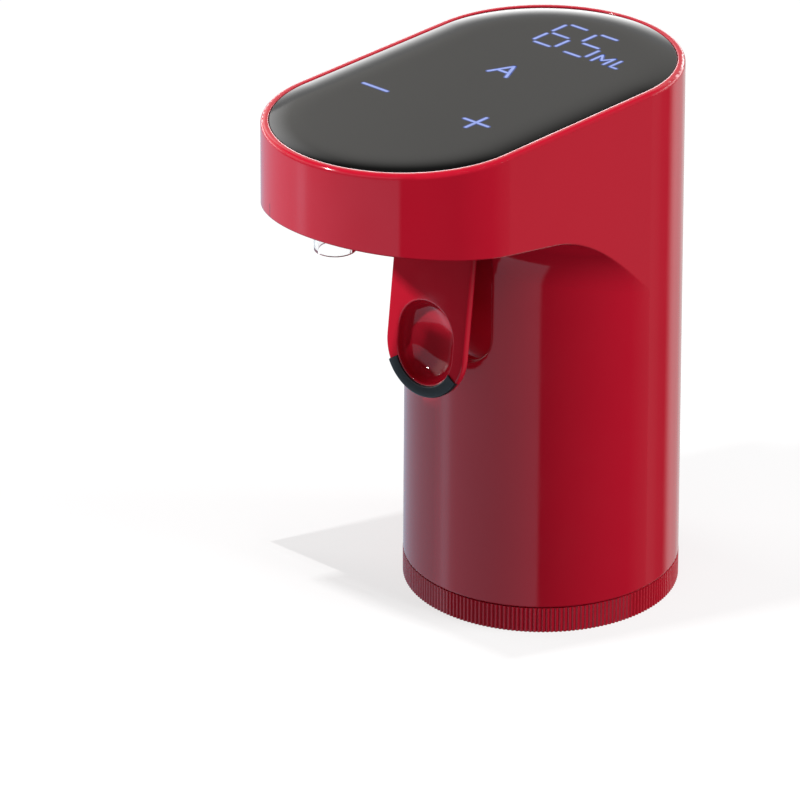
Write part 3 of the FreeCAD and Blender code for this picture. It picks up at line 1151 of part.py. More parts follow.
def air_tube_upper():
    path = rounded_path([(CHECK_X, CHECK_Y, CHECK_HIGH + END_CLEARANCE), (CHECK_X, CHECK_Y, AIR_LINE_TOP),
                         (PUMP_X, PUMP_Y, AIR_LINE_TOP), (PUMP_X, PUMP_Y, PUMP_CAP_HIGH + END_CLEARANCE)])
    return hose("upper air tube", path, AIR_TUBE_RADIUS, AIR_TUBE_BORE)


def air_tube_lower():
    path = rounded_path([(VALVE_HALF_WIDTH + END_CLEARANCE, VALVE_PORT_Y, VALVE_PORT_Z),
                         (CHECK_X, VALVE_PORT_Y, VALVE_PORT_Z), (CHECK_X, CHECK_Y, CHECK_LOW - END_CLEARANCE)])
    return hose("lower air tube", path, AIR_TUBE_RADIUS, AIR_TUBE_BORE)


def air_tube_stopper():
    low, high = CORE_TOP + END_CLEARANCE, VALVE_LOW - END_CLEARANCE
    return sleeve(AIR_TUBE_RADIUS, AIR_TUBE_BORE, low, high, 0, AIR_PORT_Y)


# ---- build ------------------------------------------------------------------------------
PIECES = [
    main_shell, touch_panel, panel_gasket, display_board, board_screws, digit_module, key_lamps,
    touch_springs, display_ribbon, trigger_paddle, trigger_bumper, trigger_pin, trigger_spring,
    trigger_switch, switch_plunger, trigger_board, switch_screws, outlet_nozzle, nozzle_seal,
    wine_tube, stopper_core, core_o_ring, silicone_stopper, mouth_gasket, base_housing, twist_ring,
    chassis, chassis_screws, battery_cell, battery_contacts, battery_leads, main_board, usb_port,
    pump_motor, pump_rotor, pump_crankcase, pump_diaphragm, pump_cap, check_valve, valve_body,
    valve_armature, air_tube_upper, air_tube_lower, air_tube_stopper,
]

for make in PIECES:
    save(make.__name__, make())
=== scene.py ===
import json
import math

import bmesh
import bpy
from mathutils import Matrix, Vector

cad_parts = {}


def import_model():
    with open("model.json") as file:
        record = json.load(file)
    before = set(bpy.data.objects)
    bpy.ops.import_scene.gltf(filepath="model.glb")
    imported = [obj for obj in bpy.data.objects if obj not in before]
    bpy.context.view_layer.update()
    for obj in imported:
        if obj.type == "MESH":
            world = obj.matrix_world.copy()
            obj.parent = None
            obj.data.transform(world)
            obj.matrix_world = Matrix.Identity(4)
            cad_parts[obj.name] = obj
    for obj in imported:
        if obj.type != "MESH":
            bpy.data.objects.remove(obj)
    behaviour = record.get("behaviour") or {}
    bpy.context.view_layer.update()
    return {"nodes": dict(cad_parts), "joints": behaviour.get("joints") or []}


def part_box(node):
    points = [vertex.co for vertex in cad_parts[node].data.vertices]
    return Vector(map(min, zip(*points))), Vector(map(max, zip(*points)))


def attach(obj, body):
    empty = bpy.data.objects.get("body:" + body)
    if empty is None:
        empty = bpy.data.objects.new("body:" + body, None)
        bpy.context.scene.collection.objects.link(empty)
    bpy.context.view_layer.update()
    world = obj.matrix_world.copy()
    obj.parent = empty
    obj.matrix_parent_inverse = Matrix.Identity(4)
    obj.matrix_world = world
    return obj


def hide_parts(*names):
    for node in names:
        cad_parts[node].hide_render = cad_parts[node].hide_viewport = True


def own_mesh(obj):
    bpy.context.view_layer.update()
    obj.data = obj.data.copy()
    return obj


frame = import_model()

MM = 0.001


# ---- sizes in millimetres; the panel's and the trigger's places come from the frame ---------
def node_box(node):
    low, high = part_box(node)
    return low / MM, high / MM


def joint_point(name):
    joint = next(joint for joint in frame["joints"] if joint["name"] == name)
    return Vector(joint["pos_m"]) / MM


SHELL_TOP = node_box("main_shell")[1].z
PANEL_LOW, PANEL_HIGH = node_box("touch_panel")
SPRING_LOW, SPRING_HIGH = node_box("trigger_spring")
PLUNGER_LOW, PLUNGER_HIGH = node_box("switch_plunger")
PIVOT = joint_point("trigger_press")

PANEL_RADIUS = PANEL_HIGH.x
HEAD_REACH = -(PANEL_LOW.y + PANEL_RADIUS)
PANEL_SINK = 0.04            # flat of the panel below the rim's top
PANEL_EDGE_ROUND = 0.15
PANEL_FOOT_ROUND = 0.3
PILLOW_WIDTH = 8.0           # how far the soft edge reaches inwards
PILLOW_TILT = math.radians(12)    # of the shading at the edge
# rings of points on the flat, by their distance from its edge, closer together near it
PANEL_INSETS = (0.3, 0.6, 1.0, 1.5, 2.0, 2.6, 3.3, 4.0, 5.0, 6.0, 7.0, PILLOW_WIDTH, PILLOW_WIDTH + 0.5)
FLAT_TOLERANCE = 0.01        # points this near the top count as the flat's

SYMBOL_THICKNESS = 0.05
SYMBOL_SINK = 0.02           # into the panel
HALO_WIDTH = 0.5             # added to a stroke's width
KEY_STROKE, DIGIT_STROKE, UNIT_STROKE = 0.54, 0.5, 0.42
DIGIT_WIDTH, DIGIT_HEIGHT, DIGIT_GAP = 5.1, 10.2, 0.9
DIGIT_FOOT, TENS_LEFT, UNITS_LEFT = 3.9, -6.9, 0.2
# strokes of the other symbols, from point to point in x and y
MINUS = [((-15.7, -30.6), (-10.2, -30.6))]
PLUS = [((7.85, -30.4), (13.25, -30.4)), ((10.55, -33.1), (10.55, -27.7))]
LETTER_A = [((-3.2, -11.8), (-1.1, -7.3)), ((-1.1, -7.3), (1.0, -11.8)), ((-2.4, -10.2), (0.3, -10.2))]
LETTER_M = [((7.1, 4.1), (7.1, 7.2)), ((7.1, 7.2), (8.5, 5.2)), ((8.5, 5.2), (9.9, 7.2)),
            ((9.9, 7.2), (9.9, 4.1))]
LETTER_L = [((11.4, 7.2), (11.4, 4.1)), ((11.4, 4.1), (12.8, 4.1))]

TONGUE_Y = PIVOT.y - 1.4     # the tongue's face at TONGUE_Z
TONGUE_Z = PIVOT.z - 13.0
TONGUE_TILT = math.radians(6.7)
TONGUE_TOP = PIVOT.z - 1.0
TONGUE_HALF_WIDTH = 9.1      # also the radius of its round tip
TONGUE_CORNER = 0.8
TONGUE_THICKNESS = 1.6
TONGUE_EDGE_ROUND = 0.4
TIP_CENTRE = PIVOT.z - 30.0
DISH_CENTRE = PIVOT.z - 29.1
DISH_HALF_RUN = 1.3          # makes the round dish an oval
DISH_REACH = 6.75            # from its middle line to its edge
DISH_DEPTH = 4.0
DISH_FULLNESS = 2.5          # 2 is a ball's bowl, more has steeper sides
DISH_BACK_FULLNESS = 2.0     # clears the recess's lower edge when pressed
DISH_LIP_ROUND = 0.4
DISH_WALL = 0.8
HUB_RADIUS = 2.4
PUSHER_RADIUS = 1.5
PUSHER_GAP = 0.15            # from its end to the switch's plunger
ROD_BEVEL = 0.25
BUMPER_TOP = PIVOT.z - 34.3  # its ends, at the tongue's outline
BUMPER_PROUD = 0.35
BUMPER_INLAY = 0.6
BUMPER_LINING = 0.1          # thickness of its lip inside the dish
BUMPER_OVERHANG = 0.04       # past the tongue's outline
BUMPER_ROUND = 0.3
SPRING_TURNS = 5
SPRING_WIRE = 0.22           # the wire's radius
ROUND_STEPS = 6              # of a small rounding, over a quarter turn
BOWL_STEPS = 18              # of the dish, from its middle to its edge
FACE_SHARES = (0.35, 0.7, 1.0)    # rings of the tongue's face, from the dish's lip to its rim


# ---- mesh helpers ---------------------------------------------------------------------------
def piece(name, points, faces, material, body, crease=40.0):
    """A mesh piece from points in millimetres, shaded smooth but for edges sharper than crease."""
    mesh = bpy.data.meshes.new(name)
    mesh.from_pydata([Vector(point) * MM for point in points], [], faces)
    form = bmesh.new()
    form.from_mesh(mesh)
    bmesh.ops.recalc_face_normals(form, faces=form.faces)
    form.to_mesh(mesh)
    form.free()
    mesh.shade_smooth()
    mesh.set_sharp_from_angle(angle=math.radians(crease))
    mesh.materials.append(material)
    obj = bpy.data.objects.new(name, mesh)
    bpy.context.scene.collection.objects.link(obj)
    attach(obj, body)
    return obj


def skin(rings):
    """Points and faces of a closed form: its rings of equal length, with both ends capped."""
    count = len(rings[0])
    points = [point for ring in rings for point in ring]
    faces = [list(range(count)), list(range(len(points) - count, len(points)))]
    for row in range(len(rings) - 1):
        for column in range(count):
            following = (column + 1) % count
            faces.append([row * count + column, row * count + following,
                          (row + 1) * count + following, (row + 1) * count + column])
    return points, faces


def merged(parts):
    """Several (points, faces) forms as one."""
    points, faces = [], []
    for part_points, part_faces in parts:
        start = len(points)
        points += part_points
        faces += [[start + index for index in face] for face in part_faces]
    return points, faces


def quarter(steps, first=0):
    """Angles that split a quarter turn into steps, from the first step on."""
    return [math.radians(90 * step / steps) for step in range(first, steps + 1)]


def arc(centre, radius, start, end, steps):
    """Points of an arc in a plane, angles in degrees."""
    turns = [math.radians(start + (end - start) * step / steps) for step in range(steps + 1)]
    return [Vector((centre[0] + radius * math.cos(turn), centre[1] + radius * math.sin(turn)))
            for turn in turns]


def stadium(radius, z, arc_steps=72, side_steps=10):
    """The plan of the head: two round ends joined by straight sides."""
    outline = arc((0, 0), radius, 0, 180, arc_steps)
    outline += [Vector((-radius, -HEAD_REACH * step / side_steps)) for step in range(1, side_steps)]
    outline += arc((0, -HEAD_REACH), radius, 180, 360, arc_steps)
    outline += [Vector((radius, -HEAD_REACH * (1 - step / side_steps))) for step in range(1, side_steps)]
    return [Vector((point.x, point.y, z)) for point in outline]


# ---- materials ------------------------------------------------------------------------------
NOISE_DETAIL = 3.0
NOISE_MIDDLE = (0.3, 0.7)    # the range that most of the noise lies in
GLOSS_GRAIN = 3              # how much finer the gloss varies than the colour
SURFACE_IOR = 1.5
EDGE_SAMPLES = 6
LIT_GRAIN = 0.5
LIT_LEVELS = (0.88, 1.08)    # brightness of a lit symbol
CLEAR_GRAIN = 0.4
CLEAR_ROUGHNESS = (0.02, 0.06)


def new_material(name):
    material = bpy.data.materials.new(name)
    material.use_nodes = True
    nodes = material.node_tree.nodes
    return material, nodes, material.node_tree.links, nodes["Principled BSDF"]


def emptied(owner):
    """The nodes and links of a new material or world, with nothing in them."""
    owner.use_nodes = True
    owner.node_tree.nodes.clear()
    return owner.node_tree.nodes, owner.node_tree.links


def mapped(nodes, links, source, span, levels, kind="LINEAR"):
    """The source's span mapped to two levels, which hold outside it."""
    reach = nodes.new("ShaderNodeMapRange")
    reach.interpolation_type = kind
    reach.inputs["From Min"].default_value, reach.inputs["From Max"].default_value = span
    reach.inputs["To Min"].default_value, reach.inputs["To Max"].default_value = levels
    links.new(source, reach.inputs["Value"])
    return reach.outputs["Result"]


def noise(nodes, links, scale):
    """Noise that stays with the part, its scale per millimetre."""
    place = nodes.new("ShaderNodeTexCoord")
    texture = nodes.new("ShaderNodeTexNoise")
    texture.inputs["Scale"].default_value = scale / MM
    texture.inputs["Detail"].default_value = NOISE_DETAIL
    links.new(place.outputs["Object"], texture.inputs["Vector"])
    return texture.outputs["Fac"]


def uneven(nodes, links, scale, low, high):
    """A value that noise moves between low and high."""
    return mapped(nodes, links, noise(nodes, links, scale), NOISE_MIDDLE, (low, high))


def blend_colours(nodes, links, source, first, second):
    mix = nodes.new("ShaderNodeMix")
    mix.data_type = "RGBA"
    mix.inputs["A"].default_value = (*first, 1)
    mix.inputs["B"].default_value = (*second, 1)
    links.new(source, mix.inputs["Factor"])
    return mix.outputs["Result"]


def surface(name, colour, roughness, shade=0.93, grain=0.15, rough_spread=0.03, bump=0.0, bump_scale=1.2,
            edge=0.0, metallic=0.0):
    """Moulded or plated finish: slow colour drift, uneven gloss, fine bump and softened edges.

    Grain and bump_scale are per millimetre, bump and edge in millimetres.
    """
    material, nodes, links, shader = new_material(name)
    drift = noise(nodes, links, grain)
    darker = tuple(channel * shade for channel in colour)
    links.new(blend_colours(nodes, links, drift, colour, darker), shader.inputs["Base Color"])
    gloss = uneven(nodes, links, grain * GLOSS_GRAIN, roughness - rough_spread, roughness + rough_spread)
    links.new(gloss, shader.inputs["Roughness"])
    shader.inputs["Metallic"].default_value = metallic
    shader.inputs["IOR"].default_value = SURFACE_IOR
    normal = None
    if edge:
        bevel = nodes.new("ShaderNodeBevel")
        bevel.samples = EDGE_SAMPLES
        bevel.inputs["Radius"].default_value = edge * MM
        normal = bevel.outputs["Normal"]
    if bump:
        relief = nodes.new("ShaderNodeBump")
        relief.inputs["Strength"].default_value = 1.0
        relief.inputs["Distance"].default_value = bump * MM
        links.new(noise(nodes, links, bump_scale), relief.inputs["Height"])
        if normal:
            links.new(normal, relief.inputs["Normal"])
        normal = relief.outputs["Normal"]
    if normal:
        links.new(normal, shader.inputs["Normal"])
    return material


def clear_plastic():
    material, nodes, links, shader = new_material("clear_plastic")
    shader.inputs["Base Color"].default_value = (0.97, 0.98, 0.99, 1)
    shader.inputs["Transmission Weight"].default_value = 1.0
    shader.inputs["IOR"].default_value = 1.49
    links.new(uneven(nodes, links, CLEAR_GRAIN, *CLEAR_ROUGHNESS), shader.inputs["Roughness"])
    return material


def glow(name, colour):
    """Lit print on the black cover, a little uneven."""
    material, nodes, links, shader = new_material(name)
    shader.inputs["Base Color"].default_value = (0.01, 0.01, 0.015, 1)
    shader.inputs["Roughness"].default_value = 0.08
    shader.inputs["Emission Color"].default_value = (*colour, 1)
    links.new(uneven(nodes, links, LIT_GRAIN, *LIT_LEVELS), shader.inputs["Emission Strength"])
    return material


RED = (0.50, 0.0085, 0.026)
MATERIALS = {
    "shell_red": surface("shell_red", RED, 0.09, bump=0.0005, bump_scale=0.9, edge=0.45, grain=0.05),
    "ring_red": surface("ring_red", RED, 0.16, bump=0.0006, edge=0.06, grain=0.2),
    "paddle_red": surface("paddle_red", RED, 0.1, bump=0.0006, grain=0.12),
    "panel_black": surface("panel_black", (0.006, 0.006, 0.006), 0.07, shade=0.8, rough_spread=0.015),
    "bumper_black": surface("bumper_black", (0.012, 0.015, 0.017), 0.38, bump=0.006, bump_scale=4.0),
    "silicone_grey": surface("silicone_grey", (0.42, 0.43, 0.44), 0.5, bump=0.004, bump_scale=2.0),
    "inner_plastic": surface("inner_plastic", (0.03, 0.03, 0.032), 0.42, bump=0.006, bump_scale=3.0,
                             edge=0.1),
    "steel": surface("steel", (0.62, 0.62, 0.63), 0.24, metallic=1.0, grain=0.6, edge=0.05),
    "contact_brass": surface("contact_brass", (0.78, 0.56, 0.25), 0.28, metallic=1.0, grain=0.8),
    "board_green": surface("board_green", (0.012, 0.16, 0.06), 0.3, shade=0.7, grain=1.5),
    "digit_white": surface("digit_white", (0.75, 0.75, 0.73), 0.5, grain=0.8),
    "ribbon_amber": surface("ribbon_amber", (0.7, 0.3, 0.04), 0.25, shade=0.75, grain=2.0),
    "cell_sleeve": surface("cell_sleeve", (0.03, 0.12, 0.42), 0.22, grain=0.3),
    "lead_red": surface("lead_red", (0.55, 0.02, 0.02), 0.4, grain=0.8),
    "hose_clear": surface("hose_clear", (0.62, 0.63, 0.62), 0.3, grain=0.4),
    "clear_plastic": clear_plastic(),
    "symbol_glow": glow("symbol_glow", (0.3, 0.39, 0.84)),
    "symbol_halo": glow("symbol_halo", (0.035, 0.065, 0.28)),
}
# the CAD nodes' finishes; the rest are inner_plastic
CAD_FINISH = {
    "main_shell": "shell_red", "twist_ring": "ring_red", "outlet_nozzle": "clear_plastic",
    "nozzle_seal": "silicone_grey", "silicone_stopper": "silicone_grey", "mouth_gasket": "silicone_grey",
    "core_o_ring": "bumper_black", "panel_gasket": "bumper_black", "pump_diaphragm": "silicone_grey",
    "display_board": "board_green", "trigger_board": "board_green", "main_board": "board_green",
    "digit_module": "digit_white", "key_lamps": "digit_white", "display_ribbon": "ribbon_amber",
    "board_screws": "steel", "switch_screws": "steel", "chassis_screws": "steel", "touch_springs": "steel",
    "trigger_pin": "steel", "pump_motor": "steel", "pump_rotor": "steel", "usb_port": "steel",
    "valve_armature": "steel", "battery_contacts": "contact_brass", "battery_cell": "cell_sleeve",
    "battery_leads": "lead_red", "wine_tube": "hose_clear", "air_tube_upper": "hose_clear",
    "air_tube_lower": "hose_clear", "air_tube_stopper": "hose_clear", "check_valve": "digit_white",
    "switch_plunger": "lead_red",
}


def finish_cad_nodes():
    for node, obj in frame["nodes"].items():
        obj.data.materials.clear()
        obj.data.materials.append(MATERIALS[CAD_FINISH.get(node, "inner_plastic")])


# ---- panel and its lit symbols --------------------------------------------------------------
def pillow_tilt(inward):
    """Lean of the panel's surface away from its middle, at a distance in from its edge."""
    share = 1 - min(inward / PILLOW_WIDTH, 1.0)
    return PILLOW_TILT * share ** 2


def touch_panel():
    """Black cover, flush with the rim, whose shading rounds off softly towards its edge."""
    top = PANEL_HIGH.z - PANEL_SINK
    foot = [stadium(PANEL_RADIUS - PANEL_FOOT_ROUND, PANEL_LOW.z),
            stadium(PANEL_RADIUS, PANEL_LOW.z + PANEL_FOOT_ROUND)]
    edge = [stadium(PANEL_RADIUS - PANEL_EDGE_ROUND * (1 - math.cos(turn)),
                    top - PANEL_EDGE_ROUND * (1 - math.sin(turn))) for turn in quarter(ROUND_STEPS)]
    flat = [stadium(PANEL_RADIUS - inset, top) for inset in PANEL_INSETS]
    points, faces = skin(foot + edge + flat)
    panel = piece("panel_cover", points, faces, MATERIALS["panel_black"], "root", crease=60)
    mesh = panel.data
    normals = [Vector(corner.vector) for corner in mesh.corner_normals]
    for loop in mesh.loops:
        place = mesh.vertices[loop.vertex_index].co / MM
        outward = Vector((place.x, place.y - min(max(place.y, -HEAD_REACH), 0.0), 0))
        if place.z > top - FLAT_TOLERANCE:
            tilt = pillow_tilt(PANEL_RADIUS - outward.length)
            normals[loop.index] = outward.normalized() * math.sin(tilt) + Vector((0, 0, math.cos(tilt)))
    mesh.normals_split_custom_set(normals)
    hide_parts("touch_panel")
    return top


def stroke(start, end, width, low, high, end_steps=8):
    """A flat bar with round ends, as a closed form."""
    start, end = Vector(start), Vector(end)
    along = math.degrees(math.atan2(end.y - start.y, end.x - start.x))
    outline = arc(end, width / 2, along - 90, along + 90, end_steps)
    outline += arc(start, width / 2, along + 90, along + 270, end_steps)
    return skin([[Vector((point.x, point.y, z)) for point in outline] for z in (low, high)])


def lit_symbol(name, strokes, width, top):
    """Bright print with a dim blue halo round it, both raised by a hair from the cover's face."""
    low = top - SYMBOL_SINK
    for suffix, spread_out, high, material in (("", 0.0, SYMBOL_THICKNESS, "symbol_glow"),
                                               ("_halo", HALO_WIDTH, SYMBOL_THICKNESS / 2, "symbol_halo")):
        forms = [stroke(start, end, width + spread_out, low, low + high) for start, end in strokes]
        points, faces = merged(forms)
        symbol = piece(name + suffix, points, faces, MATERIALS[material], "root")


def digit_strokes(left, segments):
    """Strokes of a seven-segment digit whose left side is at left."""
    low, gap = DIGIT_FOOT, DIGIT_GAP
    right, middle, high = left + DIGIT_WIDTH, low + DIGIT_HEIGHT / 2, low + DIGIT_HEIGHT
    places = {
        "a": ((left + gap, high), (right - gap, high)),
        "b": ((right, middle + gap), (right, high - gap)),
        "c": ((right, low + gap), (right, middle - gap)),
        "d": ((left + gap, low), (right - gap, low)),
        "e": ((left, low + gap), (left, middle - gap)),
        "f": ((left, middle + gap), (left, high - gap)),
        "g": ((left + gap, middle), (right - gap, middle)),
    }
    return [places[segment] for segment in segments]


def lit_symbols(top):
    lit_symbol("symbol_minus", MINUS, KEY_STROKE, top)
    lit_symbol("symbol_plus", PLUS, KEY_STROKE, top)
    lit_symbol("symbol_mode", LETTER_A, KEY_STROKE, top)
    lit_symbol("volume_tens", digit_strokes(TENS_LEFT, "acdefg"), DIGIT_STROKE, top)
    lit_symbol("volume_units", digit_strokes(UNITS_LEFT, "acdfg"), DIGIT_STROKE, top)
    lit_symbol("volume_unit_mark", LETTER_M + LETTER_L, UNIT_STROKE, top)


# ---- trigger --------------------------------------------------------------------------------
def lean(point):
    """From the tongue's upright drawing, (x, depth behind its face, z), to its place."""
    x, depth, z = point
    rise = z - TONGUE_Z
    return Vector((x, TONGUE_Y + depth * math.cos(TONGUE_TILT) + rise * math.sin(TONGUE_TILT),
                   TONGUE_Z + rise * math.cos(TONGUE_TILT) - depth * math.sin(TONGUE_TILT)))


def tongue_outline(inset, tip_steps=44):
    """Rounded top corners, straight sides and a round tip, as (x, z), from the top right corner."""
    corner_steps, side_steps, top_steps = 6, 14, 16
    half = TONGUE_HALF_WIDTH - inset
    top = TONGUE_TOP - inset
    top_half = half - TONGUE_CORNER
    side_top = top - TONGUE_CORNER
    right = arc((top_half, side_top), TONGUE_CORNER, 90, 0, corner_steps)
    side = [Vector((half, side_top + (TIP_CENTRE - side_top) * step / side_steps))
            for step in range(1, side_steps)]
    tip = arc((0, TIP_CENTRE), half, 0, -180, tip_steps)
    left = [Vector((-point.x, point.y)) for point in reversed(side)]
    top_left = [Vector((-point.x, point.y)) for point in reversed(right)]
    across = [Vector((top_half * (2 * step / top_steps - 1), top)) for step in range(1, top_steps)]
    return right + side + tip + left + top_left + across


def dish_offset(point):
    """From the dish's middle line to a point."""
    x, z = point
    middle = min(max(z, DISH_CENTRE - DISH_HALF_RUN), DISH_CENTRE + DISH_HALF_RUN)
    return Vector((x, z - middle))


def oval(spokes, reach):
    """The oval at a reach from the dish's middle line, one point on each spoke from its centre.

    Halving the span again and again finds each point, as a share of its spoke's length.
    """
    longest, halvings = 2.0, 30
    points = []
    for spoke in spokes:
        low, high = 0.0, longest
        for _ in range(halvings):
            share = (low + high) / 2
            offset = dish_offset((spoke.x * share, DISH_CENTRE + (spoke.y - DISH_CENTRE) * share))
            low, high = (share, high) if offset.length < reach else (low, share)
        points.append(Vector((spoke.x * low, DISH_CENTRE + (spoke.y - DISH_CENTRE) * low)))
    return points


def bowl_depth(share, fullness):
    """Depth of the bowl as a share of its deepest, at a share of the way to its edge."""
    return (1 - min(share, 1.0) ** fullness) ** (1 / fullness)


def flat_ring(outline, depth):
    return [lean((point.x, depth, point.y)) for point in outline]


def dish_rings(outline, turns):
    """The dish from its middle outwards, and its rounded lip."""
    reach = DISH_REACH - DISH_LIP_ROUND
    shares = [math.sin(turn) for turn in quarter(BOWL_STEPS, first=1)]
    bowl = [flat_ring(oval(outline, reach * share),
                      max(DISH_DEPTH * bowl_depth(share, DISH_FULLNESS), DISH_LIP_ROUND)) for share in shares]
    lip = [flat_ring(oval(outline, reach + DISH_LIP_ROUND * (1 - math.cos(turn))),
                     DISH_LIP_ROUND * (1 - math.sin(turn))) for turn in turns]
    return bowl + lip


def face_rings(outline):
    """The flat of the tongue's face, from the dish's lip to the rounded edge."""
    lip, rim = oval(outline, DISH_REACH), tongue_outline(TONGUE_EDGE_ROUND)
    return [flat_ring([near.lerp(far, share) for near, far in zip(lip, rim)], 0.0)
            for share in FACE_SHARES]


def edge_rings(turns):
    """The tongue's edge, rounded at the face and at the back."""
    front = [flat_ring(tongue_outline(TONGUE_EDGE_ROUND * (1 - math.sin(turn))),
                       TONGUE_EDGE_ROUND * (1 - math.cos(turn))) for turn in turns]
    back = [flat_ring(tongue_outline(TONGUE_EDGE_ROUND * (1 - math.cos(turn))),
                      TONGUE_THICKNESS - TONGUE_EDGE_ROUND * (1 - math.sin(turn))) for turn in [0.0] + turns]
    return front + back


def back_rings(outline):
    """The dish's bulge on the tongue's back, from its edge to its middle."""
    shares = [math.sin(turn) for turn in quarter(BOWL_STEPS, first=1)]
    rise = DISH_DEPTH + DISH_WALL - TONGUE_THICKNESS
    return [flat_ring(oval(outline, (DISH_REACH + DISH_WALL) * share),
                      TONGUE_THICKNESS + rise * bowl_depth(share, DISH_BACK_FULLNESS))
            for share in reversed(shares)]


def paddle_tongue():
    outline = tongue_outline(0)
    turns = quarter(ROUND_STEPS, first=1)
    return skin(dish_rings(outline, turns) + face_rings(outline) + edge_rings(turns) + back_rings(outline))


def rod_between(start, end, radius, sides=40):
    """A rod with a small bevel at each end."""
    start, end = Vector(start), Vector(end)
    axis = (end - start).normalized()
    side = axis.orthogonal().normalized()
    other = axis.cross(side)
    turns = [2 * math.pi * step / sides for step in range(sides)]
    spokes = [side * math.cos(turn) + other * math.sin(turn) for turn in turns]
    places = [(start, radius - ROD_BEVEL), (start + axis * ROD_BEVEL, radius),
              (end - axis * ROD_BEVEL, radius), (end, radius - ROD_BEVEL)]
    return skin([[centre + spoke * reach for spoke in spokes] for centre, reach in places])


def trigger_paddle():
    """Dished tongue, its hub at the pivot, and the pusher behind it that works the switch."""
    hub = rod_between((-TONGUE_HALF_WIDTH, PIVOT.y, PIVOT.z), (TONGUE_HALF_WIDTH, PIVOT.y, PIVOT.z),
                      HUB_RADIUS)
    push_z = (PLUNGER_LOW.z + PLUNGER_HIGH.z) / 2
    tongue_y = TONGUE_Y + (push_z - TONGUE_Z) * math.tan(TONGUE_TILT)
    pusher = rod_between((0, tongue_y + TONGUE_THICKNESS / 2, push_z),
                         (0, PLUNGER_LOW.y - PUSHER_GAP, push_z), PUSHER_RADIUS)
    points, faces = merged([paddle_tongue(), hub, pusher])
    paddle = piece("push_paddle", points, faces, MATERIALS["paddle_red"], "trigger", crease=50)
    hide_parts("trigger_paddle")


def trigger_bumper():
    """Soft dark crescent round the dish's lower edge, a little proud of the tongue's face."""
    outline = [point for point in tongue_outline(0, tip_steps=96) if point.y < BUMPER_TOP]
    steps = 5
    turns = quarter(steps, first=1)
    lining = BUMPER_ROUND - BUMPER_PROUD - BUMPER_INLAY
    rows = []
    for point in outline:
        lip = oval([point], DISH_REACH - BUMPER_LINING)[0]
        away = (point - lip).normalized()
        outer = point - away * BUMPER_ROUND
        section = [(lip, BUMPER_INLAY + lining * step / steps) for step in range(steps + 1)]
        section += [(lip + away * BUMPER_ROUND * (1 - math.cos(turn)),
                     BUMPER_ROUND * (1 - math.sin(turn)) - BUMPER_PROUD) for turn in turns]
        section.append((outer, -BUMPER_PROUD))
        section += [(outer + away * (BUMPER_ROUND + BUMPER_OVERHANG) * math.sin(turn),
                     BUMPER_ROUND * (1 - math.cos(turn)) - BUMPER_PROUD) for turn in turns]
        section.append((point + away * BUMPER_OVERHANG, BUMPER_INLAY))
        rows.append([lean((spot.x, depth, spot.y)) for spot, depth in section])
    points, faces = skin(rows)
    bumper = piece("dish_bumper", points, faces, MATERIALS["bumper_black"], "trigger", crease=50)
    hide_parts("trigger_bumper")


def trigger_spring():
    """Wire coil between the pocket's floor and the back of the tongue."""
    middle_z = (SPRING_LOW.z + SPRING_HIGH.z) / 2
    radius = (SPRING_HIGH.x - SPRING_LOW.x) / 2 - SPRING_WIRE
    start, end = SPRING_LOW.y + SPRING_WIRE, SPRING_HIGH.y - SPRING_WIRE
    turn_steps, sides = 36, 10
    steps = turn_steps * SPRING_TURNS
    rings = []
    for step in range(steps + 1):
        turn = 2 * math.pi * SPRING_TURNS * step / steps
        outward = Vector((math.cos(turn), 0, math.sin(turn)))
        centre = Vector((0, start + (end - start) * step / steps, middle_z)) + outward * radius
        rings.append([centre + outward * SPRING_WIRE * math.cos(2 * math.pi * side / sides)
                      + Vector((0, 1, 0)) * SPRING_WIRE * math.sin(2 * math.pi * side / sides)
                      for side in range(sides)])
    points, faces = skin(rings)
    spring = piece("paddle_spring", points, faces, MATERIALS["steel"], "root", crease=60)
    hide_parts("trigger_spring")
    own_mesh(spring)


# ---- studio: angles in degrees, and lengths in metres but for the flags ----------------------
STUDIO_MIDDLE = Vector((0, -HEAD_REACH / 2, SHELL_TOP / 2)) * MM
BLUISH, PLAIN, WARM = (0.62, 0.82, 1.0), (1.0, 1.0, 1.0), (1.0, 0.98, 0.94)
# what gloss sees round the part, as azimuth, brightness and tint, in three walls above each other
LOW_WALL = [(-138, 0.78, WARM), (-126, 0.76, BLUISH), (-76, 0.85, BLUISH), (-60, 0.95, BLUISH),
            (-53, 1.15, BLUISH), (-49, 1.6, BLUISH), (-44, 1.5, BLUISH), (-40, 1.0, BLUISH),
            (-34, 0.86, BLUISH), (-11, 0.76, BLUISH), (9, 0.68, BLUISH), (38, 0.68, BLUISH),
            (40, 0.0, BLUISH), (118, 0.0, PLAIN), (130, 0.1, PLAIN), (138, 0.19, PLAIN),
            (142, 0.25, PLAIN), (147, 0.22, PLAIN), (153, 0.1, PLAIN), (163, 0.05, PLAIN),
            (168, 0.35, PLAIN), (172, 0.75, PLAIN), (178, 0.85, PLAIN), (186, 0.7, PLAIN),
            (194, 0.65, PLAIN), (204, 0.8, PLAIN), (215, 0.62, WARM), (222, 0.62, WARM)]
MIDDLE_WALL = [(-138, 0.62, WARM), (-126, 0.76, BLUISH), (-84, 0.8, BLUISH), (-66, 0.3, BLUISH),
               (-54, 0.06, BLUISH), (38, 0.06, BLUISH), (40, 0.0, BLUISH), (118, 0.0, PLAIN),
               (142, 0.2, PLAIN), (165, 0.3, PLAIN), (178, 0.8, PLAIN), (194, 0.65, PLAIN),
               (222, 0.62, WARM)]
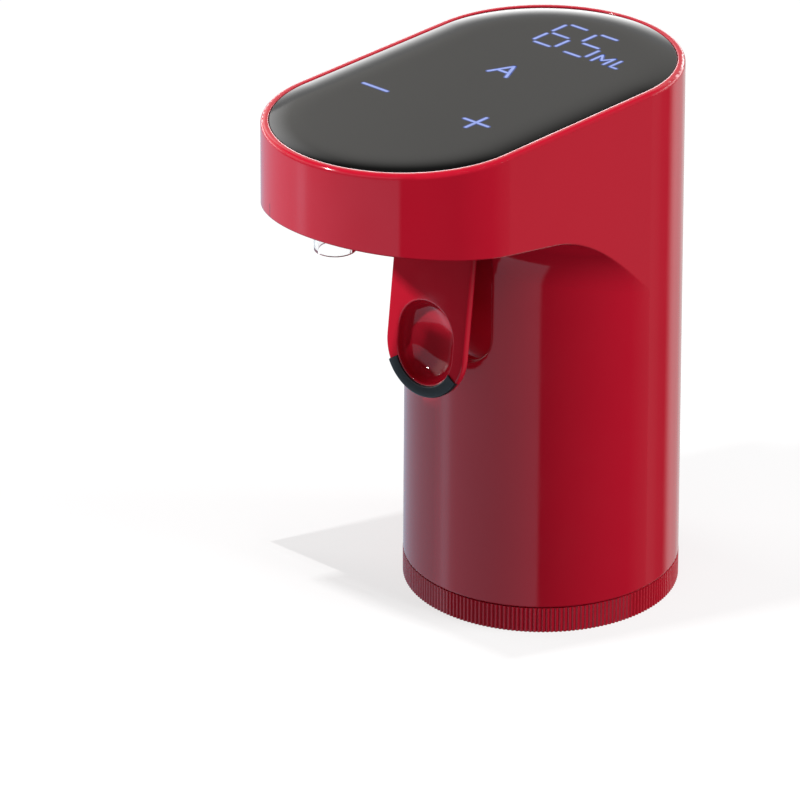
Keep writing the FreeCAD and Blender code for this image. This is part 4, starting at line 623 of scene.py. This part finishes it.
HIGH_WALL = [(-138, 0.62, WARM), (-132, 0.8, WARM), (-124, 2.2, PLAIN), (-116, 2.2, PLAIN),
             (-104, 1.0, PLAIN), (-80, 0.8, PLAIN), (-46, 1.1, PLAIN), (-34, 0.8, BLUISH),
             (38, 0.68, BLUISH), (42, 0.0, PLAIN), (118, 0.0, PLAIN), (142, 0.25, PLAIN),
             (168, 0.5, PLAIN), (190, 0.62, WARM), (222, 0.62, WARM)]
WALL_FOOT, WALL_SPLIT, WALL_EYE, WALL_TOP = -60, -20, 0, 44    # where each begins and ends
WALL_FADE = (26, 43)         # elevations over which the high wall turns dark
WALL_DISTANCE = 1.6
CAP_REACH = 1.05             # of the dark caps above and below, as a share of the wall's distance
CAP_STEP = 10
# a bright strip in front of the high wall, which comes down to a dimmer level at its ends and top
STRIP_SPAN, STRIP_RISE, STRIP_DISTANCE = (135, 300), (0, 20), WALL_DISTANCE * 0.95
STRIP_LEVEL, STRIP_END_LEVEL = 5.0, 0.62
STRIP_END, STRIP_FADE = 0.1, (0.07, 0.92)    # shares of its length and of its height
CARD_PEAK = 5.0              # brightest level of any card
CARD_STEPS = 120
NO_FADE = (1.0, 1.1)         # past a card's top, so it keeps its brightness
# shadow cards in millimetres, as y and an outline in x and z: ahead of the column, and left of the tongue
FLAGS = [(-60, [(-40, 26), (6, 26), (6, 90), (-11, 90), (-11, 85), (-18, 85), (-19.5, 72), (-40, 72)]),
         (-28, [(-45, 2), (-9.6, 2), (-9.6, 88), (-22, 88), (-22, 80), (-45, 80)])]
# azimuth, elevation, width, height, watts, and whether gloss sees the lamp
LAMPS = {
    "key_front": (-24, 37, 0.07, 0.07, 10.5, True),
    "fill_left": (-75, 20, 0.6, 0.5, 6.0, False),
    "key_right": (114, 35, 0.6, 0.5, 10.8, False),
    "overhead": (40, 84, 0.3, 0.5, 2.0, False),
}
LAMP_DISTANCE = 1.1
FLOOR_HALF = 4.0             # half the floor's side
FLOOR_COLOUR = (0.9, 0.9, 0.9, 1)
FLOOR_SHOWN = 0.28           # how much of the floor near the part is lit by the lamps, for its shadow
FLOOR_FADE = (0.12, 0.42)    # from the column's axis, over which the rest of it turns plain white
AMBIENT_SPAN = (-0.25, 0.35)    # height of a direction, -1 down and 1 up
AMBIENT_LEVELS = (0.42, 0.17)
WHITE = (1, 1, 1, 1)
CAMERA_SENSOR, CAMERA_LENS = 36, 283.1    # millimetres
CAMERA_PLACE = (0.67437, -0.77874, 0.53263)
CAMERA_AZIMUTH, CAMERA_ELEVATION = 42.33, 25.82


def direction(azimuth, elevation):
    """Unit vector; azimuth 0 is the part's front, -Y, and 90 its right, +X."""
    turn, rise = math.radians(azimuth), math.radians(elevation)
    return Vector((math.sin(turn) * math.cos(rise), -math.cos(turn) * math.cos(rise), math.sin(rise)))


def softbox(name, azimuth, elevation, width, height, power, in_gloss):
    """Area lamp that faces the middle of the studio."""
    lamp = bpy.data.lights.new(name, "AREA")
    lamp.shape = "RECTANGLE"
    lamp.size, lamp.size_y = width, height
    lamp.energy = power
    obj = bpy.data.objects.new(name, lamp)
    bpy.context.scene.collection.objects.link(obj)
    back = direction(azimuth, elevation)
    obj.location = STUDIO_MIDDLE + back * LAMP_DISTANCE
    obj.rotation_mode = "QUATERNION"
    obj.rotation_quaternion = back.to_track_quat("Z", "Y")
    obj.visible_glossy = in_gloss


def studio_mesh(name, points, faces):
    mesh = bpy.data.meshes.new(name)
    mesh.from_pydata(points, [], faces)
    obj = bpy.data.objects.new(name, mesh)
    bpy.context.scene.collection.objects.link(obj)
    return obj


def only_for_gloss(card):
    """A card that isn't part of the object, and that gloss alone sees."""
    card.visible_camera = False
    card.visible_diffuse = False
    card.visible_transmission = False
    card.visible_volume_scatter = False
    card.visible_shadow = False


def card_colour(level, tint):
    return (*[channel * level / CARD_PEAK for channel in tint], 1)


def card_glow(name, stops, fade, remainder=0.0):
    """Glow by a card's UV: colours along it from the stops, fading to a remainder between two heights."""
    material = bpy.data.materials.new(name)
    nodes, links = emptied(material)
    place = nodes.new("ShaderNodeTexCoord")
    split = nodes.new("ShaderNodeSeparateXYZ")
    links.new(place.outputs["UV"], split.inputs["Vector"])
    along = nodes.new("ShaderNodeValToRGB")
    links.new(split.outputs["X"], along.inputs["Fac"])
    ramp = along.color_ramp.elements
    for share, level, tint in stops[1:-1]:
        ramp.new(share).color = card_colour(level, tint)
    for element, (share, level, tint) in ((ramp[0], stops[0]), (ramp[len(ramp) - 1], stops[-1])):
        element.position = share
        element.color = card_colour(level, tint)
    upwards = mapped(nodes, links, split.outputs["Y"], fade, (CARD_PEAK, CARD_PEAK * remainder), "SMOOTHSTEP")
    emit = nodes.new("ShaderNodeEmission")
    links.new(along.outputs["Color"], emit.inputs["Color"])
    links.new(upwards, emit.inputs["Strength"])
    output = nodes.new("ShaderNodeOutputMaterial")
    links.new(emit.outputs["Emission"], output.inputs["Surface"])
    material.cycles.emission_sampling = "NONE"
    return material


def curved_card(name, start, end, low, high, distance, material):
    """Part of an upright cylinder round the part, from azimuth to azimuth, that only gloss sees."""
    levels = [math.tan(math.radians(angle)) * distance for angle in (low, high)]
    points, faces, uvs = [], [], []
    for step in range(CARD_STEPS + 1):
        share = step / CARD_STEPS
        outward = direction(start + (end - start) * share, 0) * distance
        points += [STUDIO_MIDDLE + outward + Vector((0, 0, level)) for level in levels]
        uvs += [(share, 0.0), (share, 1.0)]
        if step:
            first = 2 * step - 2
            faces.append([first, first + 1, first + 3, first + 2])
    card = studio_mesh(name, points, faces)
    layer = card.data.uv_layers.new(name="UVMap")
    for loop in card.data.loops:
        layer.data[loop.index].uv = uvs[loop.vertex_index]
    card.data.materials.append(material)
    only_for_gloss(card)


def reflection_wall():
    """What gloss sees all round: three walls above each other, a bright strip, and dark caps.

    The walls are bluish from the left to the front, dark at the right, and plain behind.
    """
    low, high = math.tan(math.radians(WALL_FOOT)), math.tan(math.radians(WALL_TOP))
    fade = [math.tan(math.radians(angle)) / high for angle in WALL_FADE]
    for name, stops, foot, top, fading in (("gloss_wall_low", LOW_WALL, WALL_FOOT, WALL_SPLIT, NO_FADE),
                                           ("gloss_wall_middle", MIDDLE_WALL, WALL_SPLIT, WALL_EYE, NO_FADE),
                                           ("gloss_wall_high", HIGH_WALL, WALL_EYE, WALL_TOP, fade)):
        start = stops[0][0]
        shares = [((azimuth - start) / 360, level, tint) for azimuth, level, tint in stops]
        material = card_glow(name + "_glow", shares, fading)
        curved_card(name, start, start + 360, foot, top, WALL_DISTANCE, material)
    strip_stops = [(0.0, STRIP_END_LEVEL, PLAIN), (STRIP_END, STRIP_LEVEL, PLAIN),
                   (1 - STRIP_END, STRIP_LEVEL, PLAIN), (1.0, STRIP_END_LEVEL, PLAIN)]
    curved_card("gloss_strip", *STRIP_SPAN, *STRIP_RISE, STRIP_DISTANCE,
                card_glow("strip_glow", strip_stops, STRIP_FADE, STRIP_END_LEVEL / STRIP_LEVEL))
    dark = [(0.0, 0.0, PLAIN), (1.0, 0.0, PLAIN)]
    for name, slope in (("gloss_ceiling", high), ("gloss_foot", low)):
        rim = [STUDIO_MIDDLE + (direction(angle, 0) * CAP_REACH + Vector((0, 0, slope))) * WALL_DISTANCE
               for angle in range(0, 360, CAP_STEP)]
        card = studio_mesh(name, rim, [list(range(len(rim)))])
        card.data.materials.append(card_glow(name + "_dark", dark, NO_FADE))
        only_for_gloss(card)


def flags():
    """Small cards, seen by nothing, that keep the front lamp off the left of the column."""
    for y, outline in FLAGS:
        points = [Vector((x, y, z)) * MM for x, z in outline]
        card = studio_mesh("flag", points, [list(range(len(points)))])
        only_for_gloss(card)
        card.visible_glossy = False
        card.visible_shadow = True


def floor_white():
    """Plain white, partly matt near the part to hold its shadow, and clear from below."""
    material = bpy.data.materials.new("floor_white")
    nodes, links = emptied(material)
    matt = nodes.new("ShaderNodeBsdfDiffuse")
    matt.inputs["Color"].default_value = FLOOR_COLOUR
    light = nodes.new("ShaderNodeEmission")
    light.inputs["Color"].default_value = WHITE
    light.inputs["Strength"].default_value = 1.0
    place = nodes.new("ShaderNodeTexCoord")
    reach = nodes.new("ShaderNodeVectorMath")
    reach.operation = "LENGTH"
    links.new(place.outputs["Object"], reach.inputs[0])
    away = mapped(nodes, links, reach.outputs["Value"], FLOOR_FADE, (1 - FLOOR_SHOWN, 1.0), "SMOOTHSTEP")
    mix = nodes.new("ShaderNodeMixShader")
    links.new(away, mix.inputs["Fac"])
    links.new(matt.outputs["BSDF"], mix.inputs[1])
    links.new(light.outputs["Emission"], mix.inputs[2])
    side = nodes.new("ShaderNodeNewGeometry")
    clear = nodes.new("ShaderNodeBsdfTransparent")
    one_sided = nodes.new("ShaderNodeMixShader")
    links.new(side.outputs["Backfacing"], one_sided.inputs["Fac"])
    links.new(mix.outputs["Shader"], one_sided.inputs[1])
    links.new(clear.outputs["BSDF"], one_sided.inputs[2])
    output = nodes.new("ShaderNodeOutputMaterial")
    links.new(one_sided.outputs["Shader"], output.inputs["Surface"])
    material.cycles.emission_sampling = "NONE"
    return material


def floor():
    """White floor with the part's faint shadow on it."""
    half = FLOOR_HALF
    corners = [(-half, -half, 0), (half, -half, 0), (half, half, 0), (-half, half, 0)]
    plane = studio_mesh("floor", corners, [[0, 1, 2, 3]])
    plane.data.materials.append(floor_white())
    plane.visible_glossy = False
    plane.visible_diffuse = False


def world():
    """White to the camera, in gloss and through clear plastic; for the rest soft light, most from below."""
    studio = bpy.data.worlds.new("studio")
    bpy.context.scene.world = studio
    nodes, links = emptied(studio)
    studio.cycles.sampling_method = "NONE"
    path = nodes.new("ShaderNodeLightPath")
    place = nodes.new("ShaderNodeTexCoord")
    split = nodes.new("ShaderNodeSeparateXYZ")
    links.new(place.outputs["Generated"], split.inputs["Vector"])
    ambient = nodes.new("ShaderNodeBackground")
    links.new(mapped(nodes, links, split.outputs["Z"], AMBIENT_SPAN, AMBIENT_LEVELS, "SMOOTHSTEP"),
              ambient.inputs["Strength"])
    bright = nodes.new("ShaderNodeBackground")
    bright.inputs["Strength"].default_value = 1.0
    for shader in (ambient, bright):
        shader.inputs["Color"].default_value = WHITE
    seen = path.outputs["Is Camera Ray"]
    for kind in ("Is Glossy Ray", "Is Transmission Ray"):
        either = nodes.new("ShaderNodeMath")
        either.operation = "MAXIMUM"
        links.new(seen, either.inputs[0])
        links.new(path.outputs[kind], either.inputs[1])
        seen = either.outputs["Value"]
    mix = nodes.new("ShaderNodeMixShader")
    links.new(seen, mix.inputs["Fac"])
    links.new(ambient.outputs["Background"], mix.inputs[1])
    links.new(bright.outputs["Background"], mix.inputs[2])
    output = nodes.new("ShaderNodeOutputWorld")
    links.new(mix.outputs["Shader"], output.inputs["Surface"])


def lights():
    for name, lamp in LAMPS.items():
        softbox(name, *lamp)
    flags()
    reflection_wall()


def camera():
    view = bpy.data.cameras.new("camera")
    view.sensor_width = CAMERA_SENSOR
    view.lens = CAMERA_LENS
    obj = bpy.data.objects.new("camera", view)
    bpy.context.scene.collection.objects.link(obj)
    bpy.context.scene.camera = obj
    obj.location = CAMERA_PLACE
    obj.rotation_mode = "QUATERNION"
    obj.rotation_quaternion = direction(CAMERA_AZIMUTH, CAMERA_ELEVATION).to_track_quat("Z", "Y")


# ---- making ---------------------------------------------------------------------------------
bpy.context.scene.view_settings.view_transform = "Standard"
camera()
world()
lights()
floor()
finish_cad_nodes()
lit_symbols(touch_panel())
trigger_paddle()
trigger_bumper()
trigger_spring()
